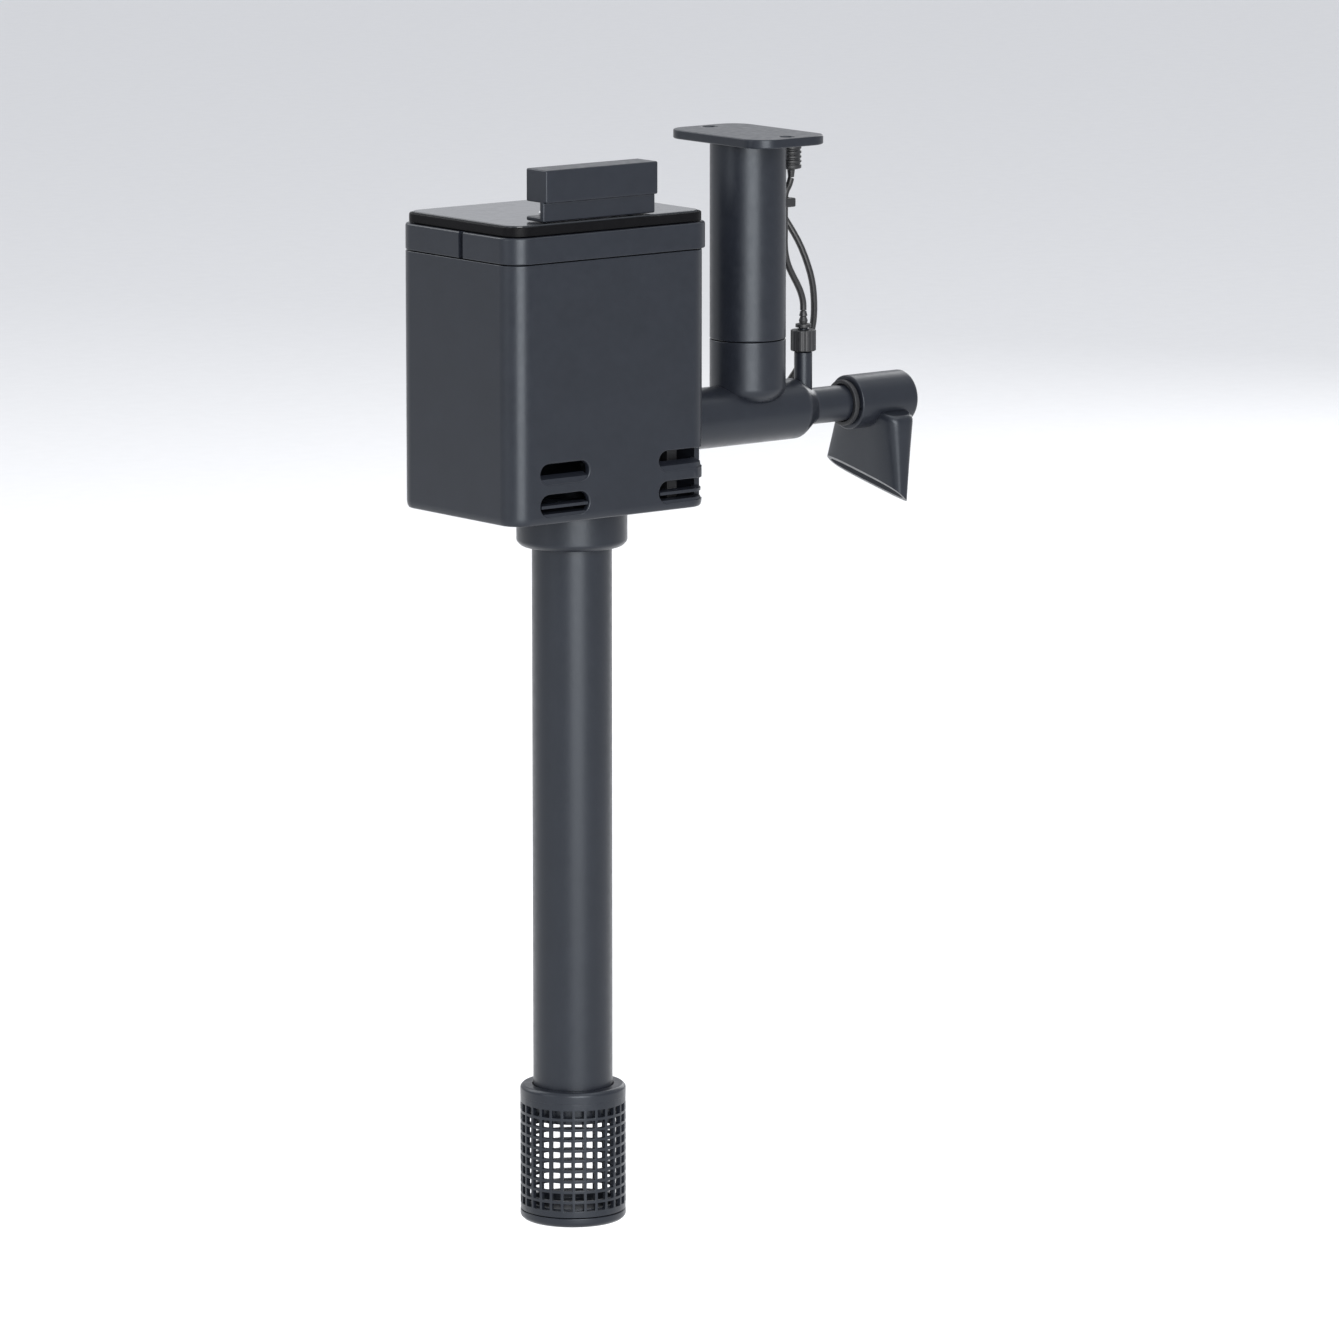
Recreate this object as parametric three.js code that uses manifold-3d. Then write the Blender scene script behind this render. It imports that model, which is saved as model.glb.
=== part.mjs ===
// Internal power filter for an aquarium: a lidded media canister with an intake tube below it, and a
// sealed low-voltage pump in an upright cylinder beside it, joined to the canister by a level duct.
// Millimetres, +Z up. The origin is the middle of the pump's top flange, which the hood holds up.
// Water path: strainer and front slots -> canister floor -> grid -> media -> over the channel's rim
// -> duct -> impeller -> outlet stub, where air is drawn in -> swivelling duckbill nozzle.

import * as THREE from 'three';
import { mergeVertices } from 'three/addons/utils/BufferGeometryUtils.js';
import Module from 'manifold-3d';

const wasm = await Module();
wasm.setup();

// ---------------------------------------------------------------- driving dimensions
const GAP = 0.3; // clearance between pieces that touch
const PAST = 1; // how far a cutter reaches past what it cuts
const ROUND = 20; // sides of a round piece
const ROUNDER = 24; // sides of the rotor's magnet and of its bush
const FINE = 12; // sides of a small round piece

const CAN = { x: -80, width: 80, depth: 62, corner: 7.5, wall: 2, floor: -116, seam: -32.5 };
const CAN_BEVEL = 2.5;
const FLOOR_TOP = CAN.floor + 2.2;

const LID = { top: -23.7, overhang: 1.3, plugSlack: 0.4, plugFoot: -38.5, plugWall: 1.8, deckFoot: -26.3 };
const LID_HOLLOW_CORNER = 3.3;
const SLIT = { y: -3.5, halfWidth: 1.2, depth: 1.3 };
const PLATEAU = { width: 71.4, depth: 53.4, corner: 3.2 };
const TRIM = { inset: 1.2, top: -21.3, holeWidth: 72, holeDepth: 54, holeCorner: 3.5 };
const PLATE = { inset: TRIM.inset + 0.1, top: -20 };

const SLOT = { nearX: -19.3, nearLength: 19.4, cornerX: 32.9, cornerLength: 27.9, nearReach: 3, cornerReach: 6 };
const SLOT_ROWS = [
  { z: CAN.floor + 6, height: 7 },
  { z: CAN.floor + 16.2, height: 6.4 },
];

const DUCT = { z: -92.8, radius: 10, bore: 8, start: -44, coneStart: 19.3, coneEnd: 25.6 };
const STUB = { radius: 6, bore: 3.5, end: 50.5 };
const CHANNEL = { x0: 26.5, x1: 37.7, halfWidth: 13, wall: 1.5, floor: -107, top: -45 };
const GRID = { foot: -95, top: -93.5, barPitch: 8, slotWidth: 4, slotLength: 44, firstSlot: -30, slots: 7 };
const GRID_LEGS = { half: 2, at: [[-31, -24], [-31, 24], [31, -20], [31, 20]] };
const GRID_NOTCH = { slack: 0.4, reach: 17 };

const BASKET = { x: -5.9, width: 63.4, depth: 57.2, corner: 5, wall: 1.3, foot: -93.2, top: -46 };
const BASKET_FLOOR = 1.4;
const PEG_HOLE = { half: 2.6, foot: -50.2, top: -47.4 };
const PEG = { half: 2, inner: 25.5, outer: 28.2, foot: -49.8, top: -47.8 };
const PAD_CORNER = 3.4;
const SPONGE = { foot: -91.5, top: -72.5 };
const FLOSS = { foot: -72.2, top: -66.2 };
const CARBON = { foot: -65.9, top: -52.4 };
const HANGER = { width: 9, inner: 24.6, outer: 26.1, foot: -51, bar: -36.3, barTop: -34.3, boss: 4 };

const GRIP = { x0: -25.5, x1: 19.6, front: -29.3, back: -18.8, web: 3.5, setBack: 1.5, foot: -19.7, top: -3 };
const GRIP_FOOT_TOP = -18.2;
const GRIP_HEAD_FOOT = -13.5;
const GRIP_SCREWS = { xs: [-20, 14], y: -22, shank: 1.1, hole: 1.5, head: 2.3, headTall: 1.7, tip: -27.4 };

const INTAKE = { x: -72.9, radius: 13, bore: 11.2, top: -112.6, end: -318 };
const INTAKE_FIT = INTAKE.radius + GAP; // bore of what the tube slides in
const COLLAR = { radius: 18, foot: -129.3, top: CAN.floor - GAP, neck: 14.3, chamfer: 1.5 };
const TUBE_GROOVE = { z0: -121.6, z1: -119.6, radius: 12.1 };
const TUBE_RING = { bore: 12.25, radius: 13.15 };
const STRAINER = { radius: 17.3, wall: 1.5, top: -307.5, foot: -349, ground: -352.5, chamfer: 0.7 };
const SOCKET = { radius: 14.6, foot: -318.5, shoulder: -311 };
const FOOT = { chamfer: 1, wall: 1.3, rise: 2.5, floor: -349.8 };
const WINDOWS = { around: 12, rows: 5, width: 5.4, height: 4.6, pitch: 6.2, first: -343.4 };

const STUB_GROOVE = { x0: 45.2, x1: 47.2, radius: 4.7 };
const STUB_CONE_END = 23.2; // where the outlet's bore has narrowed to the stub's
const PARTITION = { x0: 4.5, x1: 6 };
const SADDLE = { foot: -88.4, footRadius: 9.4, shoulder: -85.2 };
const LOCK_RING = { bore: 10.3, radius: 11.3, x0: -43.8, x1: -42.3 };
const DUCT_RING = { bore: 10.3, radius: 11.3, x0: -39.7, x1: -38.4 };
const STOP_RING = { bore: 6.3, radius: 7.6, x0: 39.8, x1: 41.6 };
const NOZZLE_RING = { bore: 4.85, radius: 6.15, x0: 45.5, x1: 46.9 };

const MOTOR = { radius: 12.5, bore: 11.2, foot: -67.7, top: -3.3, floor: 2 };
const MOTOR_GROOVE = { z0: -69.9, z1: -68.5, radius: 9.5 };
const CHAMBER_RING = { bore: 9.65, radius: 10.5 };
const WELL = { bore: 6.6, radius: 7.6, top: -38, lidTop: -36.8 };
const SPIGOT = { radius: 10.4, foot: -70.8 };
const CHAMBER = { bore: 10.7, floor: -81.5, top: -68 };
const EYE = 4.2;
const RETURN_PORT = { x: 8.6, radius: 1.9 };
const SPIDER = { foot: -84.5, top: -82.2, hub: 2.3, rimBore: 3.1, rim: 3.9, spokeHalf: 0.5, spokes: 3 };
const SPOKE = { from: 1.6, to: 3.5 };
const SHAFT = { radius: 1.2, foot: -84.3, top: -38.6, fit: 0.1 };
const BEARING_BORE = 1.35;
const MAGNET = { radius: 5.9, foot: -66, top: -44 };
const BUSH = { radius: 6.3, foot: -42, top: -38.3 };
const IMPELLER = { radius: 8, hub: 2.8, foot: -80.6, top: -71.4, shroud: 1.2, blades: 6, blade: 1 };
const BLADE = { from: 2, shy: 0.2, lift: 0.4 };
const STATOR = { bore: 7.9, radius: 10.9, foot: -62, top: -46, slots: 6, slotHalf: 1.5, slotDepth: 9.8 };
const WINDING = { bore: 8.3, radius: 10.6, chamfer: 0.6, sides: 16 };
const LOWER_WINDING = [-65.3, -62.3];
const UPPER_WINDING = [-45.7, -42.6];
const BOARD = { radius: 10.7, foot: -34, top: -32.4 };
const CAPACITOR = { x: 4, y: 3, radius: 2.4, foot: -32.1, top: -26 };
const CHOKE = { x: -4, y: -3, bore: 1, radius: 2.8, foot: -32.1, top: -28.6 };
const FLANGE = { width: 31, length: 50, corner: 8, thickness: 3, holeRadius: 1.8, holeY: 20 };
const CAP = { plug: 10.9, foot: -10, groove: 9.9, groove0: -7.7, groove1: -6, ringBore: 10.05, ring: 11.05 };

const AIR = { x: 23.5, post: 3, postFoot: -89.8, shoulder: -74.3, stem: 1.6, stemTop: -66.5, bore: 0.7 };
const KNOB = { radius: 4.2, bore: 1.9, foot: -74, top: -67, flutes: 8, flute: 0.6, fluteOut: 0.2 };
const KNOB_CHAMFER = { foot: 0.4, top: 0.6 };
const BARB_PROFILE = [
  [0.6, -66.2], [2.6, -66.2], [2.6, -65.1], [1.3, -64.8], [1.5, -64], [1, -62.6], [1.4, -62.4],
  [1, -60.8], [0.6, -60.8],
];
const SILENCER = { x: 17, y: -1.4, radius: 3.4, foot: -16, top: -4.5, neck: 1, neckTop: 1.3, neckTall: 2.5 };
const SILENCER_PAD = { x0: 12.9, x1: 15, half: 1.6, foot: -10, top: -6 };
const LINE_CLIP = { foot: -25.5, top: -22.5, centre: [14.3, -1.5], halfWidth: 3, outer: 16.7 };

const NOZZLE = { x: 42, length: 24, hub: 9, bore: 6.3, tilt: 12, centre: 13.6, wall: 1.5 };
const NOZZLE_END = { wall: 2, rimChamfer: 0.6, endChamfer: 1.5 };
const BILL = { rootHalf: 14.6, mouthHalf: 20, rootThick: 7, mouthThick: 3.8, mouth: -28, lipDrop: 3.2 };
const BILL_SIDES = 20;
const BILL_BULGE = 0.62; // under 1, so that the section is fuller than an ellipse
const BILL_STEPS = [-12, -20];
const BILL_SHOULDER = { thick: 0.8, wide: 2, drop: 2, outside: -1.5, inside: -3.2 };
const BILL_PAST = 4; // how far the loft goes on below the mouth, before the mouth is cut

// The power lead is a thin two-core lead, 1.5 m long: 15 turns of it hang on the hook.
const LEAD = { radius: 1.1, sides: 8, step: 5.5 };
const COIL = { x: -78, y: 38.6, z: -70, middle: 12.1, halfSection: 4.4, rim: 1.1 };
const HOOK = { halfWidth: 6, thick: 1.8, below: 6.5, above: 7, peg: 2, past: 0.6, lipThick: 1.7, lipHalf: 1.8 };
const HOOK_LIP = { below: 1, above: 6.5 };
const TIE = { half: 1.8, inside: 0.4, outside: 1.3, slack: 0.2 };
const LEAD_CLIP = { point: 12, x0: -12, x1: -8, back: 9, past: 2.4, half: 3.2, hole: 1.5 };
const CONNECTOR = { top: -88.9, length: 20, radius: 4.8, shoulder: 9 };
const BARREL = { radius: 2.75, bore: 1.05, length: 8, chamfer: 0.4, hollowShy: 2 };
const GLAND = { z: -13, turn: Math.atan2(0.785, 0.62), end: 21, hole: 2.3, holeFrom: 9, holeTo: 15 };
const GLAND_PROFILE = [[0, 9.6], [2, 9.6], [2, 12.8], [3.4, 12.8], [3.4, 14.2], [2.5, 15], [1.5, 21], [0, 21]];
const LEAD_ROUTE = [
  [13.2, 16.7, -13], [16.3, 19.2, -13.6], [20.6, 19.2, -18], [26.2, 15.4, -29.2], [32.6, 10.4, -44.5],
  [36.4, 10.2, -60], [36.4, 13.2, -74], [32, 17, -86], [23.5, 18.4, -93.4], [13, 16.4, -94.6],
  [3, 13.8, -93.4], [-4, 13, -92.8], [-8, 13, -92.8], [-12, 13, -92.8], [-16, 13.3, -92.8],
  [-24.5, 17.4, -93.3], [-33, 25.2, -93.2], [-41, 32.9, -92.4], [-50, 37, -90.4], [-58, 38.6, -86.2],
  [-62.2, 38.6, -79.3],
];
const TAIL_ROUTE = [
  [-93.6, 38.6, -79.3], [-94, 38.6, -82.5], [-94.2, 38.6, -86], [-94.2, 38.6, -88.6],
];
const AIR_LINE = { radius: 1.1, sides: 8, step: 4.5 };
const AIR_ROUTE = [
  [23.5, 0, -60.5], [23.3, -0.1, -58], [22.3, -0.3, -55], [20.6, -0.6, -52], [18.4, -0.9, -48.8],
  [16.2, -1.3, -45.4], [14.8, -1.5, -41.8], [14.3, -1.5, -38], [14.3, -1.5, -34], [14.3, -1.5, -30],
  [14.3, -1.5, -26], [14.3, -1.5, -22.6], [14.9, -1.5, -20.4], [16.2, -1.4, -18.4], [17, -1.4, -16.3],
];

// ---------------------------------------------------------------- materials
const surface = (color, roughness, metalness = 0) =>
  new THREE.MeshStandardMaterial({ color, roughness, metalness });

const MATERIAL = {
  charcoal: () => surface(0x3e4148, 0.45),
  plate: () => surface(0x4a4d52, 0.22),
  dark: () => surface(0x2b2d31, 0.5),
  rubber: () => surface(0x141416, 0.75),
  foam: () => surface(0x2f6fa8, 0.95),
  floss: () => surface(0xeef0ec, 0.98),
  carbon: () => surface(0x1b1b1c, 0.9),
  clear: () => surface(0xd9dee0, 0.35),
  magnet: () => surface(0x3a3836, 0.5, 0.6),
  steel: () => surface(0xb9bcc0, 0.25, 1),
  ceramic: () => surface(0xe9e7e0, 0.3),
  iron: () => surface(0x6f7276, 0.45, 0.9),
  copper: () => surface(0xb4622f, 0.35, 0.9),
  board: () => surface(0x1d5a36, 0.5),
  lead: () => surface(0x17181a, 0.55),
};

// ---------------------------------------------------------------- solids
function facingOut(geometry) {
  const welded = welding(geometry);
  const { position } = welded.attributes;
  const index = welded.index.array;
  const corner = [new THREE.Vector3(), new THREE.Vector3(), new THREE.Vector3()];
  let volume = 0;
  for (let i = 0; i < index.length; i += 3) {
    corner.forEach((point, k) => point.fromBufferAttribute(position, index[i + k]));
    volume += corner[0].dot(corner[1].clone().cross(corner[2]));
  }
  if (volume < 0) {
    for (let i = 0; i < index.length; i += 3) {
      [index[i], index[i + 1]] = [index[i + 1], index[i]];
    }
  }
  return welded;
}

// Shares the vertices between faces, and leaves out the faces that have no area.
function welding(geometry) {
  const bare = geometry.clone();
  bare.deleteAttribute('normal');
  bare.deleteAttribute('uv');
  const merged = mergeVertices(bare, 1e-4);
  const faces = [];
  for (let i = 0; i < merged.index.count; i += 3) {
    const [a, b, c] = [0, 1, 2].map((k) => merged.index.getX(i + k));
    if (a !== b && b !== c && c !== a) faces.push(a, b, c);
  }
  merged.setIndex(faces);
  return merged;
}

function toManifold(geometry) {
  const welded = facingOut(geometry);
  return new wasm.Manifold(new wasm.Mesh({
    numProp: 3,
    vertProperties: new Float32Array(welded.attributes.position.array),
    triVerts: new Uint32Array(welded.index.array),
  }));
}

function fromManifold(manifold) {
  const mesh = manifold.getMesh();
  const geometry = new THREE.BufferGeometry();
  geometry.setAttribute('position', new THREE.BufferAttribute(new Float32Array(mesh.vertProperties), 3));
  geometry.setIndex(Array.from(mesh.triVerts));
  return geometry;
}

function join(first, ...others) {
  return fromManifold(others.reduce((sum, other) => sum.add(toManifold(other)), toManifold(first)));
}

function cut(first, ...tools) {
  return fromManifold(tools.reduce((rest, tool) => rest.subtract(toManifold(tool)), toManifold(first)));
}

function block(x0, x1, y0, y1, z0, z1) {
  const geometry = new THREE.BoxGeometry(x1 - x0, y1 - y0, z1 - z0);
  return geometry.translate((x0 + x1) / 2, (y0 + y1) / 2, (z0 + z1) / 2);
}

function roundedShape(width, depth, radius) {
  const [x, y] = [width / 2 - radius, depth / 2 - radius];
  const shape = new THREE.Shape();
  shape.absarc(x, y, radius, 0, Math.PI / 2);
  shape.absarc(-x, y, radius, Math.PI / 2, Math.PI);
  shape.absarc(-x, -y, radius, Math.PI, Math.PI * 1.5);
  shape.absarc(x, -y, radius, Math.PI * 1.5, Math.PI * 2);
  return shape;
}

function prism(shape, z0, z1, curveSegments = 4) {
  const geometry = new THREE.ExtrudeGeometry(shape, { depth: z1 - z0, bevelEnabled: false, curveSegments });
  return geometry.translate(0, 0, z0);
}

const roundedBlock = (width, depth, radius, z0, z1) => prism(roundedShape(width, depth, radius), z0, z1);

// A profile of [radius, height] points turned about the Z axis; it closes on itself or on the axis.
function turned(profile, sides = ROUND) {
  const points = profile.map(([radius, height]) => new THREE.Vector2(radius, height));
  points.push(points[0].clone());
  return facingOut(new THREE.LatheGeometry(points, sides).rotateX(Math.PI / 2));
}

const turnedAlongX = (profile, sides = ROUND) => turned(profile, sides).rotateY(Math.PI / 2);
const rod = (radius, z0, z1, sides = ROUND) => turned([[0, z0], [radius, z0], [radius, z1], [0, z1]], sides);

function sleeve(bore, radius, z0, z1, sides = ROUND) {
  return turned([[bore, z0], [radius, z0], [radius, z1], [bore, z1]], sides);
}

const rodAlongX = (radius, x0, x1, sides = ROUND) => rod(radius, x0, x1, sides).rotateY(Math.PI / 2);
const sealRing = ({ bore, radius }, groove) => sleeve(bore, radius, groove.z0 + GAP, groove.z1 - GAP);

// A slot with round ends, long in X, cut from front to back between y0 and y1.
function slotCutter(x, z, length, height, y0, y1) {
  return prism(roundedShape(length, height, height / 2 - 0.01), 0, y1 - y0, 4)
    .rotateX(Math.PI / 2)
    .translate(x, y1, z);
}

// Sections of equal point count, joined by side faces and closed at both ends.
function loft(sections) {
  const count = sections[0].length;
  const vertices = sections.flat().flatMap((point) => point);
  const faces = [];
  for (let s = 0; s + 1 < sections.length; s += 1) {
    for (let i = 0; i < count; i += 1) {
      const [a, b] = [s * count + i, s * count + ((i + 1) % count)];
      faces.push(a, b, b + count, a, b + count, a + count);
    }
  }
  const last = (sections.length - 1) * count;
  for (let i = 1; i + 1 < count; i += 1) {
    faces.push(0, i + 1, i, last, last + i, last + i + 1);
  }
  const geometry = new THREE.BufferGeometry();
  geometry.setAttribute('position', new THREE.Float32BufferAttribute(vertices, 3));
  geometry.setIndex(faces);
  return facingOut(geometry);
}

function cord(route, { radius, sides, step }) {
  const path = new THREE.CatmullRomCurve3(route.map((point) => new THREE.Vector3(...point)));
  const section = new THREE.Shape();
  for (let i = 0; i < sides; i += 1) {
    const angle = (2 * Math.PI * i) / sides;
    const [x, y] = [radius * Math.cos(angle), radius * Math.sin(angle)];
    if (i === 0) section.moveTo(x, y);
    else section.lineTo(x, y);
  }
  section.closePath();
  const steps = Math.round(path.getLength() / step);
  return facingOut(new THREE.ExtrudeGeometry(section, { steps, extrudePath: path, bevelEnabled: false }));
}

// ---------------------------------------------------------------- assembly
const filter = new THREE.Group();
filter.name = 'internal_power_filter';

function groupAt(x, y, z) {
  const group = new THREE.Group();
  group.position.set(x, y, z);
  filter.add(group);
  return group;
}

const canister = groupAt(CAN.x, 0, 0);
const intake = groupAt(INTAKE.x, 0, 0);
const pump = groupAt(0, 0, 0);
const nozzle = groupAt(NOZZLE.x, 0, DUCT.z);
nozzle.rotation.x = THREE.MathUtils.degToRad(NOZZLE.tilt);

function piece(group, name, geometry, material) {
  const mesh = new THREE.Mesh(geometry, material());
  mesh.name = name;
  group.add(mesh);
}

// ---------------------------------------------------------------- canister and what is fixed in it
function canisterShell() {
  const inset = 2 * CAN_BEVEL;
  const outline = roundedShape(CAN.width - inset, CAN.depth - inset, CAN.corner - CAN_BEVEL);
  const outer = new THREE.ExtrudeGeometry(outline, {
    depth: CAN.seam - CAN.floor,
    bevelThickness: CAN_BEVEL,
    bevelSize: CAN_BEVEL,
    bevelSegments: 2,
    curveSegments: 4,
  }).translate(0, 0, CAN.floor + CAN_BEVEL);
  const { wall } = CAN;
  const hollow = roundedBlock(CAN.width - 2 * wall, CAN.depth - 2 * wall, CAN.corner - wall, FLOOR_TOP, 0);
  const above = block(-CAN.width, CAN.width, -CAN.depth, CAN.depth, CAN.seam, 0);
  const half = CAN.depth / 2;
  const slots = SLOT_ROWS.flatMap(({ z, height }) => [
    slotCutter(SLOT.nearX, z, SLOT.nearLength, height, -half - PAST, -half + SLOT.nearReach),
    slotCutter(SLOT.cornerX, z, SLOT.cornerLength, height, -half - PAST, -half + SLOT.cornerReach),
  ]);
  const tubeHole = rod(COLLAR.neck + GAP, CAN.floor - PAST, FLOOR_TOP + PAST)
    .translate(INTAKE.x - CAN.x, 0, 0);
  const side = CAN.width / 2;
  const ductHole = rodAlongX(DUCT.radius + GAP, side - 2 * wall, side + PAST).translate(0, 0, DUCT.z);
  return cut(outer, hollow, above, ...slots, tubeHole, ductHole);
}

function cleanWaterChannel() {
  const { x0, x1, halfWidth, wall, floor, top } = CHANNEL;
  const inside = halfWidth - wall;
  return cut(
    block(x0, x1, -halfWidth, halfWidth, floor, top),
    block(x0 + wall, x1 + PAST, -inside, inside, floor + wall, top + PAST),
  );
}

function gridSlots(x, z0, z1) {
  const { firstSlot, barPitch, slots, slotWidth, slotLength } = GRID;
  return Array.from({ length: slots }, (_, i) => {
    const left = x + firstSlot + i * barPitch;
    return block(left, left + slotWidth, -slotLength / 2, slotLength / 2, z0, z1);
  });
}

function mediaGrid() {
  const clearance = CAN.wall + GAP;
  const plate = roundedBlock(
    CAN.width - 2 * clearance, CAN.depth - 2 * clearance, CAN.corner - clearance, GRID.foot, GRID.top,
  );
  const { slack, reach } = GRID_NOTCH;
  const notchHalf = CHANNEL.halfWidth + slack;
  const notchX = CHANNEL.x0 - slack;
  const notch = block(notchX, notchX + reach, -notchHalf, notchHalf, GRID.foot - 5 * PAST, GRID.top + PAST);
  const { half } = GRID_LEGS;
  const legs = GRID_LEGS.at.map(([x, y]) => (
    block(x - half, x + half, y - half, y + half, FLOOR_TOP + GAP, (GRID.foot + GRID.top) / 2)
  ));
  return cut(join(plate, ...legs), notch, ...gridSlots(0, GRID.foot - PAST, GRID.top + PAST));
}

piece(canister, 'canister_shell', canisterShell(), MATERIAL.charcoal);
piece(canister, 'clean_water_channel', cleanWaterChannel(), MATERIAL.dark);
piece(canister, 'media_grid', mediaGrid(), MATERIAL.dark);

// ---------------------------------------------------------------- lid, with the media hung under it
function lid() {
  const { overhang, plugWall, plugFoot, deckFoot, top } = LID;
  const clearance = CAN.wall + LID.plugSlack;
  const skirt = roundedBlock(CAN.width + overhang, CAN.depth, CAN.corner, CAN.seam + GAP, top)
    .translate(overhang / 2, 0, 0);
  const plugWide = CAN.width - 2 * clearance;
  const plugDeep = CAN.depth - 2 * clearance;
  const plug = roundedBlock(plugWide, plugDeep, CAN.corner - clearance, plugFoot, CAN.seam + PAST);
  const plateau = roundedBlock(PLATEAU.width, PLATEAU.depth, PLATEAU.corner, top - PAST, TRIM.top);
  const hollowWide = plugWide - 2 * plugWall;
  const hollowDeep = plugDeep - 2 * plugWall;
  const hollow = roundedBlock(hollowWide, hollowDeep, LID_HOLLOW_CORNER, plugFoot - PAST, deckFoot);
  const side = -CAN.width / 2;
  const { y, halfWidth, depth } = SLIT;
  const slit = block(side - PAST, side + depth, y - halfWidth, y + halfWidth, CAN.seam - PAST, top + PAST);
  return cut(join(skirt, plug, plateau), hollow, slit, ...gripScrewHoles());
}

function gripScrewHoles() {
  const { xs, y, hole } = GRIP_SCREWS;
  return xs.map((x) => rod(hole, LID.plugFoot, PLATE.top + PAST, FINE).translate(x, y, 0));
}

function trimOutline(inset) {
  const width = CAN.width + LID.overhang - 2 * inset;
  return roundedShape(width, CAN.depth - 2 * inset, CAN.corner - inset);
}

function lidTrim() {
  const band = prism(trimOutline(TRIM.inset), LID.top + GAP, TRIM.top).translate(LID.overhang / 2, 0, 0);
  const { holeWidth, holeDepth, holeCorner } = TRIM;
  return cut(band, roundedBlock(holeWidth, holeDepth, holeCorner, LID.top - PAST, TRIM.top + PAST));
}

function lidPlate() {
  const sheet = prism(trimOutline(PLATE.inset), TRIM.top + GAP, PLATE.top)
    .translate(LID.overhang / 2, 0, 0);
  return cut(sheet, ...gripScrewHoles());
}

function lidGrip() {
  const { x0, x1, front, back, web, setBack, foot, top } = GRIP;
  const solid = block(x0, x1, front, back, foot, top);
  const recess = block(x0 - PAST, x1 + PAST, front + web, back + PAST, GRIP_FOOT_TOP, GRIP_HEAD_FOOT);
  const undercut = block(x0 - PAST, x1 + PAST, front - PAST, front + setBack, foot - PAST, GRIP_HEAD_FOOT);
  const holes = GRIP_SCREWS.xs.map((x) => rod(GRIP_SCREWS.hole, foot - PAST, GRIP_FOOT_TOP + PAST, FINE)
    .translate(x, GRIP_SCREWS.y, 0));
  return cut(solid, recess, undercut, ...holes);
}

function gripScrew(x) {
  const { shank, y, head, headTall, tip } = GRIP_SCREWS;
  const [headFoot, headTop] = [GRIP_FOOT_TOP + GAP, GRIP_FOOT_TOP + headTall];
  return turned([
    [0, tip], [shank * 0.4, tip], [shank, tip + 1], [shank, headFoot],
    [head, headFoot], [head, headTop - 0.4], [head - 0.5, headTop], [0, headTop],
  ], FINE).translate(x, y, 0);
}

function mediaBasket() {
  const { x, width, depth, corner, wall, foot, top } = BASKET;
  const outer = roundedBlock(width, depth, corner, foot, top);
  const floor = foot + BASKET_FLOOR;
  const inside = roundedBlock(width - 2 * wall, depth - 2 * wall, corner - wall, floor, top + PAST);
  const pegHoles = block(-PEG_HOLE.half, PEG_HOLE.half, -depth, depth, PEG_HOLE.foot, PEG_HOLE.top);
  return cut(outer.translate(x, 0, 0), inside.translate(x, 0, 0), pegHoles.translate(x, 0, 0),
    ...gridSlots(0, foot - PAST, floor + PAST));
}

function cartridgeHanger() {
  const { width, inner, outer, foot, bar, barTop } = HANGER;
  const half = width / 2;
  const crossbar = block(-half, half, -outer, outer, bar, barTop);
  const backLeg = block(-half, half, inner, outer, foot, bar + PAST);
  const backPeg = block(-PEG.half, PEG.half, PEG.inner, PEG.outer, PEG.foot, PEG.top);
  const frontLeg = block(-half, half, -outer, -inner, foot, bar + PAST);
  const frontPeg = block(-PEG.half, PEG.half, -PEG.outer, -PEG.inner, PEG.foot, PEG.top);
  const boss = rod(HANGER.boss, barTop - PAST, LID.deckFoot - GAP, FINE);
  return join(crossbar, backLeg, backPeg, frontLeg, frontPeg, boss).translate(BASKET.x, 0, 0);
}

function mediaPad(foot, top) {
  const slack = 2 * (BASKET.wall + GAP);
  return roundedBlock(BASKET.width - slack, BASKET.depth - slack, PAD_CORNER, foot, top)
    .translate(BASKET.x, 0, 0);
}

piece(canister, 'lid', lid(), MATERIAL.charcoal);
piece(canister, 'lid_trim', lidTrim(), MATERIAL.rubber);
piece(canister, 'lid_top_plate', lidPlate(), MATERIAL.plate);
piece(canister, 'lid_grip', lidGrip(), MATERIAL.charcoal);
GRIP_SCREWS.xs.forEach((x, i) => piece(canister, `grip_screw_${i + 1}`, gripScrew(x), MATERIAL.steel));
piece(canister, 'cartridge_hanger', cartridgeHanger(), MATERIAL.dark);
piece(canister, 'media_basket', mediaBasket(), MATERIAL.dark);
piece(canister, 'coarse_sponge', mediaPad(SPONGE.foot, SPONGE.top), MATERIAL.foam);
piece(canister, 'filter_floss', mediaPad(FLOSS.foot, FLOSS.top), MATERIAL.floss);
piece(canister, 'carbon_pad', mediaPad(CARBON.foot, CARBON.top), MATERIAL.carbon);

// ---------------------------------------------------------------- intake tube and strainer
function intakeCollar() {
  const { radius, foot, top, neck, chamfer } = COLLAR;
  return turned([
    [INTAKE_FIT, foot], [radius - chamfer, foot], [radius, foot + chamfer], [radius, top], [neck, top],
    [neck, INTAKE.top - GAP], [INTAKE_FIT, INTAKE.top - GAP],
  ]);
}

function intakeTube() {
  const { radius, bore, top, end } = INTAKE;
  const groove = TUBE_GROOVE;
  return turned([
    [bore, end], [radius, end], [radius, groove.z0], [groove.radius, groove.z0],
    [groove.radius, groove.z1], [radius, groove.z1], [radius, top], [bore, top],
  ]);
}

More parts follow.
